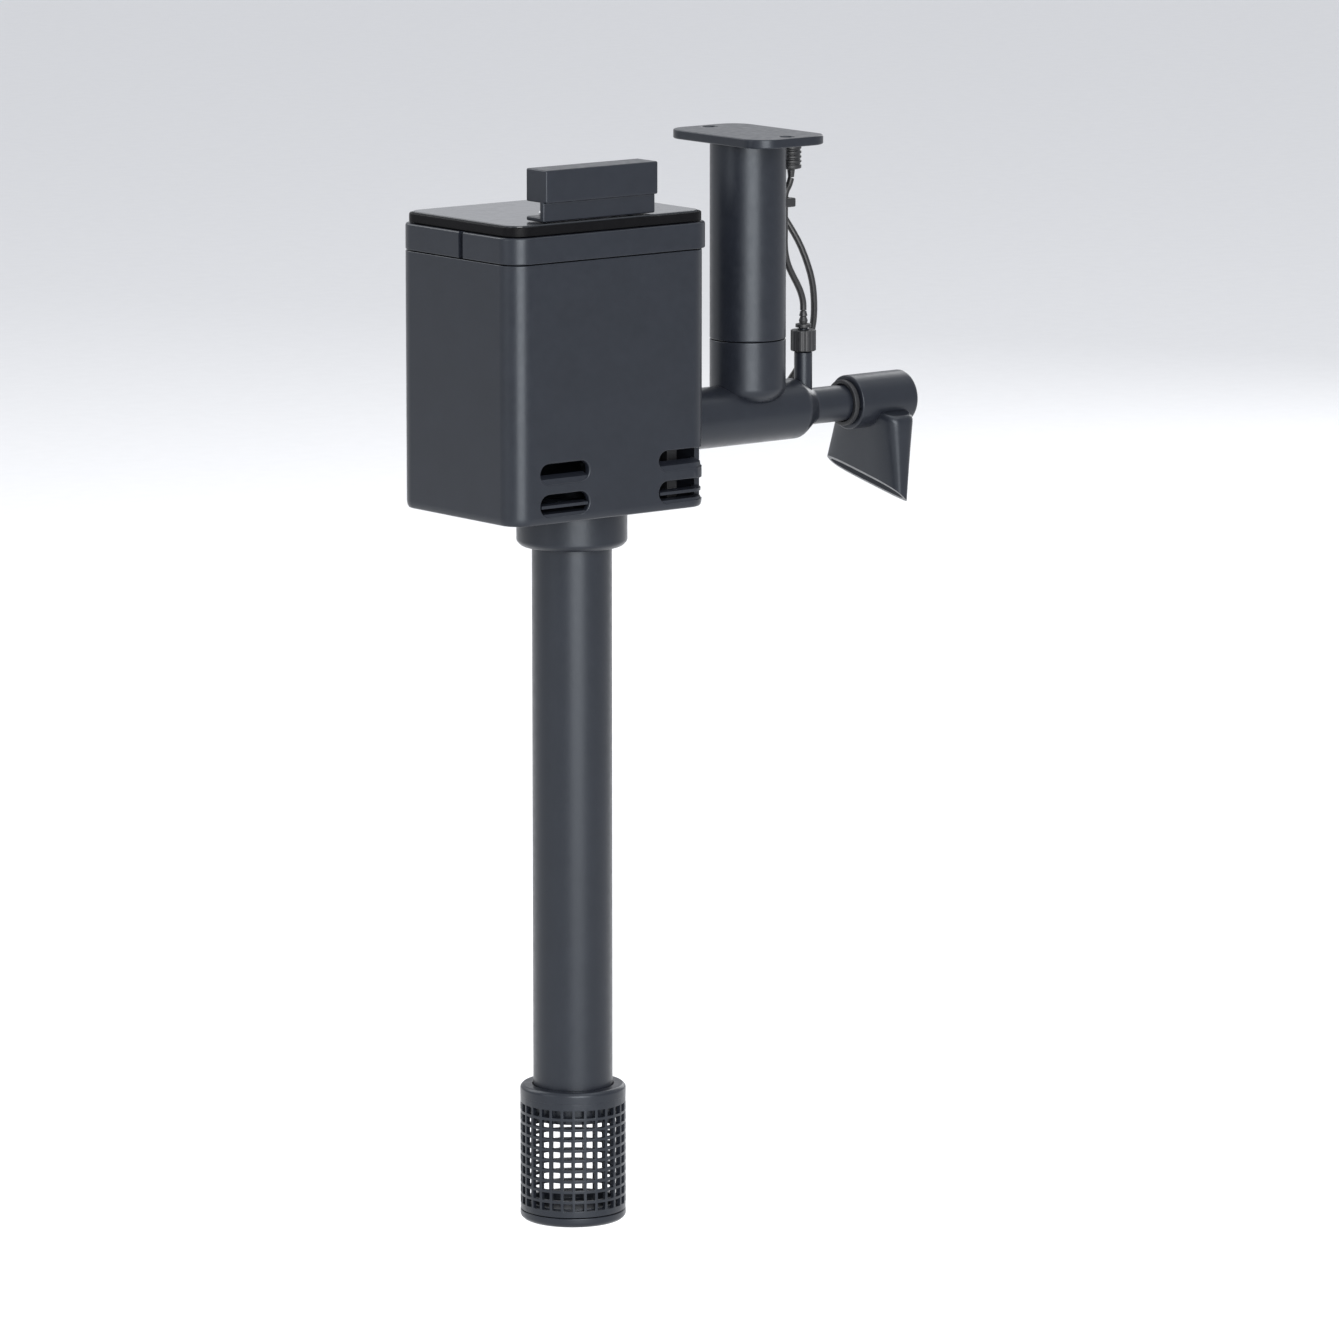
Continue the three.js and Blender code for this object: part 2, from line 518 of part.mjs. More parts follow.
function strainerCage() {
  const { radius, wall, top, foot, chamfer } = STRAINER;
  const inner = radius - wall;
  const cage = turned([
    [INTAKE_FIT, top], [radius - chamfer, top], [radius, top - chamfer], [radius, foot], [inner, foot],
    [inner, SOCKET.shoulder], [SOCKET.radius, SOCKET.shoulder], [SOCKET.radius, SOCKET.foot],
    [INTAKE_FIT, SOCKET.foot],
  ], 2 * WINDOWS.around);
  const windows = [];
  for (let row = 0; row < WINDOWS.rows; row += 1) {
    const z = WINDOWS.first + row * WINDOWS.pitch;
    for (let i = 0; i < WINDOWS.around; i += 1) {
      const half = WINDOWS.width / 2;
      const [low, high] = [z - WINDOWS.height / 2, z + WINDOWS.height / 2];
      windows.push(block(inner - PAST, radius + PAST, -half, half, low, high)
        .rotateZ((2 * Math.PI * i) / WINDOWS.around));
    }
  }
  return cut(cage, ...windows);
}

function strainerFoot() {
  const { radius, foot, ground } = STRAINER;
  const { chamfer, wall, rise, floor } = FOOT;
  const plug = radius - STRAINER.wall - GAP;
  return turned([
    [0, ground], [radius - chamfer, ground], [radius, ground + chamfer], [radius, foot - GAP],
    [plug, foot - GAP], [plug, foot + rise], [plug - wall, foot + rise], [plug - wall, floor], [0, floor],
  ]);
}

piece(intake, 'intake_collar', intakeCollar(), MATERIAL.charcoal);
piece(intake, 'intake_tube', intakeTube(), MATERIAL.charcoal);
piece(intake, 'intake_oring', sealRing(TUBE_RING, TUBE_GROOVE), MATERIAL.rubber);
piece(intake, 'strainer_cage', strainerCage(), MATERIAL.charcoal);
piece(intake, 'strainer_foot', strainerFoot(), MATERIAL.charcoal);

// ---------------------------------------------------------------- pump: duct, chamber and outlet stub
function pumpHousing() {
  const { z, radius, bore, start, coneStart, coneEnd } = DUCT;
  const duct = turnedAlongX([
    [0, start], [radius, start], [radius, coneStart], [STUB.radius, coneEnd], [STUB.radius, STUB_GROOVE.x0],
    [STUB_GROOVE.radius, STUB_GROOVE.x0], [STUB_GROOVE.radius, STUB_GROOVE.x1],
    [STUB.radius, STUB_GROOVE.x1], [STUB.radius, STUB.end], [0, STUB.end],
  ]).translate(0, 0, z);
  const saddle = turned([
    [0, SADDLE.foot], [SADDLE.footRadius, SADDLE.foot], [MOTOR.radius, SADDLE.shoulder],
    [MOTOR.radius, CHAMBER.top], [0, CHAMBER.top],
  ]);
  const post = turned([
    [0, AIR.postFoot], [AIR.post, AIR.postFoot], [AIR.post, AIR.shoulder], [AIR.stem, AIR.shoulder],
    [AIR.stem, AIR.stemTop], [0, AIR.stemTop],
  ], FINE).translate(AIR.x, 0, 0);
  const inlet = rodAlongX(bore, start - PAST, PARTITION.x0).translate(0, 0, z);
  const outlet = turnedAlongX([
    [0, PARTITION.x1], [bore, PARTITION.x1], [bore, coneStart - 1], [STUB.bore, STUB_CONE_END],
    [STUB.bore, STUB.end + PAST], [0, STUB.end + PAST],
  ]).translate(0, 0, z);
  const chamber = rod(CHAMBER.bore, CHAMBER.floor, CHAMBER.top + PAST);
  const eye = rod(EYE, z, CHAMBER.floor + PAST, FINE);
  const returnPort = rod(RETURN_PORT.radius, z, CHAMBER.floor + PAST, FINE).translate(RETURN_PORT.x, 0, 0);
  const airBore = rod(AIR.bore, z, AIR.stemTop + PAST, 8).translate(AIR.x, 0, 0);
  return cut(join(duct, saddle, post), inlet, outlet, chamber, eye, returnPort, airBore);
}

function ringOnDuct({ bore, radius, x0, x1 }) {
  return turnedAlongX([[bore, x0], [radius, x0], [radius, x1], [bore, x1]]).translate(0, 0, DUCT.z);
}

function eyeSpider() {
  const { foot, top, spokeHalf, spokes } = SPIDER;
  const hub = rod(SPIDER.hub, foot, top, FINE);
  const rim = sleeve(SPIDER.rimBore, SPIDER.rim, foot, top, FINE);
  const arms = Array.from({ length: spokes }, (_, i) => (
    block(SPOKE.from, SPOKE.to, -spokeHalf, spokeHalf, foot, top).rotateZ((2 * Math.PI * i) / spokes)
  ));
  return cut(join(hub, rim, ...arms), rod(BEARING_BORE, foot - PAST, top + PAST, FINE));
}

function impeller() {
  const { radius, foot, top, shroud, blades, blade } = IMPELLER;
  const { from, shy, lift } = BLADE;
  const hub = rod(IMPELLER.hub, foot, top, FINE);
  const disc = rod(radius, top - shroud, top);
  const vanes = Array.from({ length: blades }, (_, i) => block(
    from, radius - shy, -blade / 2, blade / 2, foot + lift, top - shroud + shy,
  ).rotateZ((2 * Math.PI * i) / blades));
  return cut(join(hub, disc, ...vanes), rod(SHAFT.radius + SHAFT.fit, foot - PAST, top + PAST, FINE));
}

function rotorMagnet() {
  return sleeve(SHAFT.radius + SHAFT.fit, MAGNET.radius, MAGNET.foot, MAGNET.top, ROUNDER);
}

piece(pump, 'pump_housing', pumpHousing(), MATERIAL.charcoal);
piece(pump, 'duct_lock_ring', ringOnDuct(LOCK_RING), MATERIAL.dark);
piece(pump, 'duct_seal', ringOnDuct(DUCT_RING), MATERIAL.rubber);
piece(pump, 'eye_spider', eyeSpider(), MATERIAL.dark);
piece(pump, 'impeller', impeller(), MATERIAL.clear);
piece(pump, 'shaft', rod(SHAFT.radius, SHAFT.foot, SHAFT.top, FINE), MATERIAL.ceramic);
piece(pump, 'rotor_magnet', rotorMagnet(), MATERIAL.magnet);
piece(pump, 'upper_bush', sleeve(BEARING_BORE, BUSH.radius, BUSH.foot, BUSH.top, ROUNDER), MATERIAL.rubber);

// ---------------------------------------------------------------- motor cylinder
function motorHousing() {
  const { radius, bore, foot, top, floor } = MOTOR;
  const groove = MOTOR_GROOVE;
  const can = turned([
    [WELL.bore, SPIGOT.foot], [SPIGOT.radius, SPIGOT.foot], [SPIGOT.radius, groove.z0],
    [groove.radius, groove.z0], [groove.radius, groove.z1], [SPIGOT.radius, groove.z1],
    [SPIGOT.radius, foot], [radius, foot], [radius, top], [bore, top], [bore, foot + floor],
    [WELL.radius, foot + floor], [WELL.radius, WELL.lidTop], [0, WELL.lidTop], [0, WELL.top],
    [WELL.bore, WELL.top],
  ]);
  const glandHole = rodAlongX(GLAND.hole, GLAND.holeFrom, GLAND.holeTo, FINE)
    .rotateZ(GLAND.turn)
    .translate(0, 0, GLAND.z);
  return cut(can, glandHole);
}

function statorCore() {
  const { bore, radius, foot, top, slots, slotHalf, slotDepth } = STATOR;
  const cutters = Array.from({ length: slots }, (_, i) => (
    block(bore - PAST, slotDepth, -slotHalf, slotHalf, foot - PAST, top + PAST)
      .rotateZ((2 * Math.PI * (i + 0.5)) / slots)
  ));
  return cut(sleeve(bore, radius, foot, top), ...cutters);
}

function winding([z0, z1]) {
  const { bore, radius, chamfer, sides } = WINDING;
  return turned([
    [bore, z0 + chamfer], [bore + chamfer, z0], [radius - chamfer, z0], [radius, z0 + chamfer],
    [radius, z1 - chamfer], [radius - chamfer, z1], [bore + chamfer, z1], [bore, z1 - chamfer],
  ], sides);
}

function boardChoke() {
  return sleeve(CHOKE.bore, CHOKE.radius, CHOKE.foot, CHOKE.top, FINE).translate(CHOKE.x, CHOKE.y, 0);
}

function boardCapacitor() {
  return rod(CAPACITOR.radius, CAPACITOR.foot, CAPACITOR.top, FINE).translate(CAPACITOR.x, CAPACITOR.y, 0);
}

function motorCap() {
  const { width, length, corner, thickness, holeRadius, holeY } = FLANGE;
  const flange = roundedBlock(width, length, corner, -thickness, 0);
  const inFlange = -thickness + 0.5;
  const body = turned([
    [0, CAP.foot], [CAP.plug, CAP.foot], [CAP.plug, CAP.groove0], [CAP.groove, CAP.groove0],
    [CAP.groove, CAP.groove1], [CAP.plug, CAP.groove1], [CAP.plug, inFlange], [0, inFlange],
  ]);
  const holes = [-holeY, holeY].map((y) => rod(holeRadius, CAP.foot, PAST, FINE).translate(0, y, 0));
  return cut(join(flange, body), ...holes);
}

function cableGland() {
  return turnedAlongX(GLAND_PROFILE, FINE).rotateZ(GLAND.turn).translate(0, 0, GLAND.z);
}

piece(pump, 'chamber_seal', sealRing(CHAMBER_RING, MOTOR_GROOVE), MATERIAL.rubber);
piece(pump, 'motor_housing', motorHousing(), MATERIAL.charcoal);
piece(pump, 'stator_core', statorCore(), MATERIAL.iron);
piece(pump, 'lower_winding', winding(LOWER_WINDING), MATERIAL.copper);
piece(pump, 'upper_winding', winding(UPPER_WINDING), MATERIAL.copper);
piece(pump, 'driver_board', rod(BOARD.radius, BOARD.foot, BOARD.top), MATERIAL.board);
piece(pump, 'board_capacitor', boardCapacitor(), MATERIAL.dark);
piece(pump, 'board_choke', boardChoke(), MATERIAL.iron);
piece(pump, 'motor_cap', motorCap(), MATERIAL.charcoal);
piece(pump, 'cap_seal', sleeve(CAP.ringBore, CAP.ring, CAP.groove0 + GAP, CAP.groove1 - GAP), MATERIAL.rubber);
piece(pump, 'cable_gland', cableGland(), MATERIAL.rubber);

// ---------------------------------------------------------------- air valve, line and silencer
function airKnob() {
  const { radius, bore, foot, top, flutes, flute, fluteOut } = KNOB;
  const chamfer = KNOB_CHAMFER;
  const body = turned([
    [bore, foot], [radius - chamfer.foot, foot], [radius, foot + chamfer.foot], [radius, top - chamfer.top],
    [radius - chamfer.top, top], [bore, top],
  ]);
  const cutters = Array.from({ length: flutes }, (_, i) => rod(flute, foot + 1, top + PAST, 6)
    .translate(radius + fluteOut, 0, 0)
    .rotateZ((2 * Math.PI * i) / flutes));
  return cut(body, ...cutters).translate(AIR.x, 0, 0);
}

function airSilencer() {
  const { x, y, radius, foot, top, neck, neckTop, neckTall } = SILENCER;
  const body = turned([
    [0, foot], [neck, foot], [neckTop, foot + neckTall], [radius, foot + neckTall + 0.5],
    [radius, top - 0.8], [radius - 0.8, top], [0, top],
  ]).translate(x, y, 0);
  const pad = SILENCER_PAD;
  return join(body, block(pad.x0, pad.x1, y - pad.half, y + pad.half, pad.foot, pad.top));
}

// A saddle on the cylinder's side that the line passes through.
function airLineClip() {
  const { foot, top, halfWidth, outer } = LINE_CLIP;
  const [x, y] = LINE_CLIP.centre;
  const body = block(MOTOR.radius - PAST, outer, y - halfWidth, y + halfWidth, foot, top);
  const lineHole = rod(AIR_LINE.radius + GAP, foot - PAST, top + PAST, FINE).translate(x, y, 0);
  return cut(body, rod(MOTOR.radius + GAP, foot - PAST, top + PAST), lineHole);
}

piece(pump, 'air_knob', airKnob(), MATERIAL.dark);
piece(pump, 'air_barb', turned(BARB_PROFILE, FINE).translate(AIR.x, 0, 0), MATERIAL.dark);
piece(pump, 'air_line', cord(AIR_ROUTE, AIR_LINE), MATERIAL.lead);
piece(pump, 'air_line_clip', airLineClip(), MATERIAL.dark);
piece(pump, 'air_silencer', airSilencer(), MATERIAL.dark);

// ---------------------------------------------------------------- duckbill nozzle on the stub
function billSection(z, halfThick, halfWide) {
  const points = [];
  for (let i = 0; i < BILL_SIDES; i += 1) {
    const angle = (2 * Math.PI * i) / BILL_SIDES;
    const [c, s] = [Math.cos(angle), Math.sin(angle)];
    points.push([
      NOZZLE.centre + halfThick * Math.sign(c) * Math.abs(c) ** BILL_BULGE,
      halfWide * Math.sign(s) * Math.abs(s) ** BILL_BULGE,
      z,
    ]);
  }
  return points;
}

function billLoft(inset, topZ, endZ) {
  const spread = (z) => BILL.rootHalf + (BILL.mouthHalf - BILL.rootHalf) * (z / BILL.mouth);
  const thick = (z) => BILL.rootThick + (BILL.mouthThick - BILL.rootThick) * (z / BILL.mouth);
  const step = BILL_SHOULDER;
  const shoulder = billSection(topZ, thick(topZ) - inset - step.thick, spread(topZ) - inset - step.wide);
  const below = [topZ - step.drop, ...BILL_STEPS, endZ]
    .map((z) => billSection(z, thick(z) - inset, spread(z) - inset));
  return loft([shoulder, ...below]);
}

function duckbillNozzle() {
  const { length, hub, bore, wall, centre } = NOZZLE;
  const { rimChamfer, endChamfer } = NOZZLE_END;
  const barrel = turnedAlongX([
    [0, 0], [hub - rimChamfer, 0], [hub, rimChamfer], [hub, length - endChamfer],
    [hub - endChamfer, length], [0, length],
  ]);
  const hollow = rodAlongX(bore, -PAST, length - NOZZLE_END.wall);
  const end = BILL.mouth - BILL_PAST;
  const outside = billLoft(0, BILL_SHOULDER.outside, end);
  const inside = billLoft(wall, BILL_SHOULDER.inside, end - PAST);
  const mouthTilt = Math.atan2(BILL.lipDrop, BILL.mouthThick);
  const reach = 2 * BILL.mouthHalf;
  const mouthCut = block(-reach, reach, -reach, reach, -reach, 0)
    .rotateY(mouthTilt)
    .translate(centre, 0, BILL.mouth);
  return cut(join(barrel, outside), hollow, inside, mouthCut);
}

piece(pump, 'nozzle_stop_ring', ringOnDuct(STOP_RING), MATERIAL.dark);
piece(pump, 'nozzle_oring', ringOnDuct(NOZZLE_RING), MATERIAL.rubber);
piece(nozzle, 'duckbill_nozzle', duckbillNozzle(), MATERIAL.charcoal);

// ---------------------------------------------------------------- power lead, its hook, clip and plug
function cordHook() {
  const { x, z, y, middle, halfSection } = COIL;
  const { halfWidth, thick, below, above, lipThick, lipHalf } = HOOK;
  const wall = CAN.depth / 2 + GAP;
  const pegZ = z + middle - halfSection - GAP - HOOK.peg;
  const lipY = y + halfSection + HOOK.past;
  const base = block(x - halfWidth, x + halfWidth, wall, wall + thick, pegZ - below, pegZ + above);
  const pegLength = lipY + lipThick - wall - PAST;
  const peg = rod(HOOK.peg, 0, pegLength, FINE).rotateX(-Math.PI / 2).translate(x, wall + PAST, pegZ);
  const [lipFoot, lipTop] = [pegZ - HOOK_LIP.below, pegZ + HOOK_LIP.above];
  const lip = block(x - lipHalf, x + lipHalf, lipY, lipY + lipThick, lipFoot, lipTop);
  return join(base, peg, lip);
}

function leadCoil() {
  const { x, y, z, middle, halfSection, rim } = COIL;
  const [inner, outer] = [middle - halfSection, middle + halfSection];
  return turned([
    [inner, -halfSection + rim], [inner + rim, -halfSection], [outer - rim, -halfSection],
    [outer, -halfSection + rim], [outer, halfSection - rim], [outer - rim, halfSection],
    [inner + rim, halfSection], [inner, halfSection - rim],
  ]).rotateX(Math.PI / 2).translate(x, y, z);
}

function coilTie() {
  const { x, y, z, middle, halfSection } = COIL;
  const [inside, outside] = [halfSection + TIE.inside, halfSection + TIE.outside];
  const { half, slack } = TIE;
  const centre = z - middle;
  const past = half + PAST;
  return cut(
    block(x - half, x + half, y - outside, y + outside, centre - outside, centre + outside + slack),
    block(x - past, x + past, y - inside, y + inside, centre - inside, centre + inside + slack),
  );
}

function leadClip() {
  const { point, x0, x1, back, past, half, hole } = LEAD_CLIP;
  const [, y, z] = LEAD_ROUTE[point];
  const body = block(x0, x1, back, y + past, z - half, z + half);
  const ductSpace = rodAlongX(DUCT.radius + GAP, x0 - PAST, x1 + PAST).translate(0, 0, DUCT.z);
  const leadHole = rodAlongX(hole, x0 - PAST, x1 + PAST, FINE).translate(0, y, z);
  return cut(body, ductSpace, leadHole);
}

function connectorBody() {
  const { top, length, radius, shoulder } = CONNECTOR;
  const [x, y] = TAIL_ROUTE.at(-1);
  return turned([
    [0, top - length], [radius - 0.4, top - length], [radius, top - length + 0.6], [radius, top - shoulder],
    [radius - 1, top - shoulder + 1.4], [radius / 2, top - shoulder + 2], [LEAD.radius + 0.4, top], [0, top],
  ]).translate(x, y, 0);
}

function connectorBarrel() {
  const { radius, bore, length, chamfer, hollowShy } = BARREL;
  const [x, y] = TAIL_ROUTE.at(-1);
  const top = CONNECTOR.top - CONNECTOR.length - GAP;
  const end = top - length;
  return turned([
    [bore, end], [radius - chamfer, end], [radius, end + chamfer], [radius, top], [0, top],
    [0, top - hollowShy], [bore, top - hollowShy],
  ]).translate(x, y, 0);
}

piece(pump, 'cord_hook', cordHook(), MATERIAL.dark);
piece(pump, 'lead_clip', leadClip(), MATERIAL.dark);
piece(pump, 'power_lead', cord(LEAD_ROUTE, LEAD), MATERIAL.lead);
piece(pump, 'lead_coil', leadCoil(), MATERIAL.lead);
piece(pump, 'coil_tie', coilTie(), MATERIAL.rubber);
piece(pump, 'lead_tail', cord(TAIL_ROUTE, { ...LEAD, step: 3 }), MATERIAL.lead);
piece(pump, 'connector_body', connectorBody(), MATERIAL.dark);
piece(pump, 'connector_barrel', connectorBarrel(), MATERIAL.steel);

export default filter;
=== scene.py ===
from math import atan2, copysign, cos, pi, radians, sin

import bmesh
import bpy
from mathutils import Matrix, Vector, noise


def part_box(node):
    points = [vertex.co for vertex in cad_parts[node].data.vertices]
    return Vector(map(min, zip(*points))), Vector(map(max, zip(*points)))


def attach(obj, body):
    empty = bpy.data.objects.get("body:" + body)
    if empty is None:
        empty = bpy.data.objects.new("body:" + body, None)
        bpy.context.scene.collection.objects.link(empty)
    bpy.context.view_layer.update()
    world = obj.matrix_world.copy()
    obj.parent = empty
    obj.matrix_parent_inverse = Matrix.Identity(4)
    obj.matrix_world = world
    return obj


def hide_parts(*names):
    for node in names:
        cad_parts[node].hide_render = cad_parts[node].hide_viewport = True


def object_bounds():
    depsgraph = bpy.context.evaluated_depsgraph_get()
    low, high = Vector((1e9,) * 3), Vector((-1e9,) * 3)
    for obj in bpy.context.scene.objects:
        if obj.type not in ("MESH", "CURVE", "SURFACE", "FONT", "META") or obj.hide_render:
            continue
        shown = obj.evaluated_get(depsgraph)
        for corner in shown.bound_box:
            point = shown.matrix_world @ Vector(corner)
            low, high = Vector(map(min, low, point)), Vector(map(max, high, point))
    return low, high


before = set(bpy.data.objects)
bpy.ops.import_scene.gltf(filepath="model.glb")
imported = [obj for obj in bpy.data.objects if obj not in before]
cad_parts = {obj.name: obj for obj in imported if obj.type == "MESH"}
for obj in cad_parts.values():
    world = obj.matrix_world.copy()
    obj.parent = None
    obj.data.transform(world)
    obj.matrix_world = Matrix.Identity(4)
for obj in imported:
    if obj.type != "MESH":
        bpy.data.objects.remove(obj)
cad_low, cad_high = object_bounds()

# The looks of an aquarium's internal power filter. Shapes are worked out in millimetres and written to
# the meshes in metres. +Z is up, the duct runs along +X, and the slots are on the -Y side.

MM = 0.001
ROUND = 96  # sides of a large round piece
SMALL = 48  # sides of a small round piece
GAP = 0.3  # clearance between pieces that touch
PAST = 1.0  # how far a cutter reaches past what it cuts


def box_mm(node):
    """Lowest and highest corner of a CAD node, in millimetres."""
    low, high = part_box(node)
    return low / MM, high / MM


# --- places, from the frame
can_low, can_high = box_mm("canister_shell")
lid_low, lid_high = box_mm("lid")
trim_low, trim_high = box_mm("lid_trim")
plate_low, plate_high = box_mm("lid_top_plate")
tube_low, tube_high = box_mm("intake_tube")
collar_low = box_mm("intake_collar")[0]
cage_low, cage_high = box_mm("strainer_cage")
foot_low = box_mm("strainer_foot")[0]
motor_low, motor_high = box_mm("motor_housing")
knob_low, knob_high = box_mm("air_knob")
coil_low, coil_high = box_mm("lead_coil")

CAN_X = (can_low.x + can_high.x) / 2
CAN_HALF = ((can_high - can_low) / 2).xy
CAN_CORNER = 7.5
CAN_WALL = 2.0
FLOOR_TOP = can_low.z + 2.2
SEAM = can_high.z
INTAKE_X = (tube_low.x + tube_high.x) / 2
AIR_X = (knob_low.x + knob_high.x) / 2
DUCT_Z = -92.8

# --- mesh helpers
ALONG_X = Matrix.Rotation(pi / 2, 4, "Y")
ALONG_Y = Matrix.Rotation(-pi / 2, 4, "X")
SHORTEST_ARM = 0.45  # the most of an edge that a rounded corner may use


def moved(x=0.0, y=0.0, z=0.0):
    return Matrix.Translation((x, y, z))


def about_z(angle):
    return Matrix.Rotation(angle, 4, "Z")


DUCT_LINE = moved(z=DUCT_Z) @ ALONG_X


def new_object(name, data):
    thing = bpy.data.objects.new(name, data)
    bpy.context.scene.collection.objects.link(thing)
    return thing


def polar(radius, angle):
    return radius * cos(angle), radius * sin(angle)


def angles_round(count):
    """Evenly spaced angles of one whole turn, from zero."""
    return [2 * pi * k / count for k in range(count)]


def mesh_piece(name, points, faces, place=None):
    """A mesh object from points in millimetres, with its faces pointing out."""
    place = place or Matrix.Identity(4)
    mesh = bpy.data.meshes.new(name)
    mesh.from_pydata([tuple((place @ Vector(p)) * MM) for p in points], [], faces)
    solid = bmesh.new()
    solid.from_mesh(mesh)
    bmesh.ops.remove_doubles(solid, verts=solid.verts, dist=1e-7)
    bmesh.ops.recalc_face_normals(solid, faces=solid.faces)
    solid.to_mesh(mesh)
    solid.free()
    return new_object(name, mesh)


def softened(outline, radius, closed=True, on_axis=False, steps=4):
    """The outline with its corners rounded. A corner may carry its own radius as a third number."""
    count = len(outline)
    result = []
    for i, (x, y, *own) in enumerate(outline):
        loose_end = not closed and i in (0, count - 1)
        if loose_end or (on_axis and abs(x) < 1e-6):
            result.append((x, y))
            continue
        corner = Vector((x, y))
        reach = own[0] if own else radius
        before = Vector(outline[i - 1][:2]) - corner
        after = Vector(outline[(i + 1) % count][:2]) - corner
        start = corner + before.normalized() * min(reach, SHORTEST_ARM * before.length)
        end = corner + after.normalized() * min(reach, SHORTEST_ARM * after.length)
        for k in range(steps + 1):
            t = k / steps
            result.append(tuple(start.lerp(corner, t).lerp(corner.lerp(end, t), t)))
    return result


def turned(name, profile, soft=0.3, sides=ROUND, place=None):
    """A closed profile of (radius, height) turned about the Z axis."""
    points, rings, faces = [], [], []
    for radius, height in softened(profile, soft, on_axis=True):
        if radius < 1e-6:
            rings.append([len(points)])
            points.append((0, 0, height))
            continue
        rings.append(list(range(len(points), len(points) + sides)))
        points += [(*polar(radius, angle), height) for angle in angles_round(sides)]
    for one, two in zip(rings, rings[1:] + rings[:1]):
        if len(one) == len(two) == 1:
            continue
        for k in range(sides):
            j = (k + 1) % sides
            corners = [one[k % len(one)], one[j % len(one)], two[j % len(two)], two[k % len(two)]]
            faces.append(list(dict.fromkeys(corners)))
    return mesh_piece(name, points, faces, place)


def rod(name, radius, low, high, place=None, sides=SMALL, edges=(0.0, 0.0)):
    """A round bar along the Z axis, with the rounding of its lower and upper edge."""
    profile = [(0, low), (radius, low, edges[0]), (radius, high, edges[1]), (0, high)]
    return turned(name, profile, 0.0, sides, place)


def sleeve(name, bore, radius, low, high, soft, sides=ROUND, place=None, edge=None):
    """A round piece with a plain bore. Its outer edges may be rounded more than its inner ones."""
    edge = soft if edge is None else edge
    profile = [(bore, low), (radius, low, edge), (radius, high, edge), (bore, high)]
    return turned(name, profile, soft, sides, place)


def round_ring(name, middle, thick, height, sides=ROUND, place=None):
    """A ring of round section, such as an O-ring."""
    section = [(middle + x, height + z) for x, z in (polar(thick, angle) for angle in angles_round(12))]
    return turned(name, section, 0.0, sides, place)


def round_rectangle(half_x, half_y, corner, arc=10):
    """Points anticlockwise round a rectangle with round corners."""
    x, y = half_x - corner, half_y - corner
    points = []
    for cx, cy, start in ((x, y, 0), (-x, y, 90), (-x, -y, 180), (x, -y, 270)):
        for k in range(arc + 1):
            dx, dy = polar(corner, radians(start + 90 * k / arc))
            points.append((cx + dx, cy + dy))
    return points


def skinned(name, sections, closed=False, place=None):
    """A skin over sections of equally many points. An open row of sections has a flat face at each end."""
    size = len(sections[0])
    points = [point for section in sections for point in section]
    starts = [size * k for k in range(len(sections))]
    pairs = list(zip(starts, starts[1:]))
    if closed:
        pairs.append((starts[-1], 0))
    faces = []
    for one, two in pairs:
        for k in range(size):
            j = (k + 1) % size
            faces.append([one + k, one + j, two + j, two + k])
    if not closed:
        faces += [list(range(size)), list(range(starts[-1], starts[-1] + size))]
    return mesh_piece(name, points, faces, place)


def boxed(name, half_x, half_y, corner, profile, soft=0.35, closed=True, place=None):
    """A profile of (inset, height) carried round a rectangle with round corners.
    An open profile's two ends are filled with a flat face each."""
    sections = []
    for inset, height in softened(profile, soft, closed):
        ring = round_rectangle(half_x - inset, half_y - inset, max(corner - inset, 0.4))
        sections.append([(x, y, height) for x, y in ring])
    return skinned(name, sections, closed, place)


def slab(name, half_x, half_y, corner, inset, low, high, soft, place=None):
    """A block with round corners. Each height may carry its edge's rounding, and the flat end faces
    start at the inset."""
    profile = [(inset, low[0]), (0, *low), (0, *high), (inset, high[0])]
    return boxed(name, half_x, half_y, corner, profile, soft, False, place)


def prism(name, outline, low, high, place=None):
    """A flat outline drawn up from one height to another."""
    return skinned(name, [[(x, y, z) for x, y in outline] for z in (low, high)], False, place)


def block(name, low, high):
    (x0, y0, z0), (x1, y1, z1) = low, high
    return prism(name, [(x0, y0), (x1, y0), (x1, y1), (x0, y1)], z0, z1)


def apply_modifiers(piece):
    graph = bpy.context.evaluated_depsgraph_get()
    mesh = bpy.data.meshes.new_from_object(piece.evaluated_get(graph))
    piece.modifiers.clear()
    piece.data = mesh
    return piece


def combine(piece, operation, tools):
    for tool in tools:
        modifier = piece.modifiers.new("combine", "BOOLEAN")
        modifier.object = tool
        modifier.operation = operation
        modifier.solver = "EXACT"
    apply_modifiers(piece)
    for tool in tools:
        bpy.data.objects.remove(tool)
    return piece


def join(piece, *others):
    return combine(piece, "UNION", others)


def cut(piece, *tools):
    return combine(piece, "DIFFERENCE", tools)


def bevelled(piece, width, segments=3, angle=40):
    """Rounds the sharp edges of a piece."""
    modifier = piece.modifiers.new("bevel", "BEVEL")
    modifier.width = width * MM
    modifier.segments = segments
    modifier.limit_method = "ANGLE"
    modifier.angle_limit = radians(angle)
    return apply_modifiers(piece)


def tube_along(name, points, radius):
    """A curve of one smooth open spline through the points."""
    curve = bpy.data.curves.new(name, "CURVE")
    curve.dimensions = "3D"
    curve.bevel_depth = radius * MM
    curve.bevel_resolution = 3
    curve.resolution_u = 6
    curve.use_fill_caps = True
    spline = curve.splines.new("BEZIER")
    spline.bezier_points.add(len(points) - 1)
    for knot, point in zip(spline.bezier_points, points):
        knot.co = Vector(point) * MM
        knot.handle_left_type = knot.handle_right_type = "AUTO"
    return new_object(name, curve)


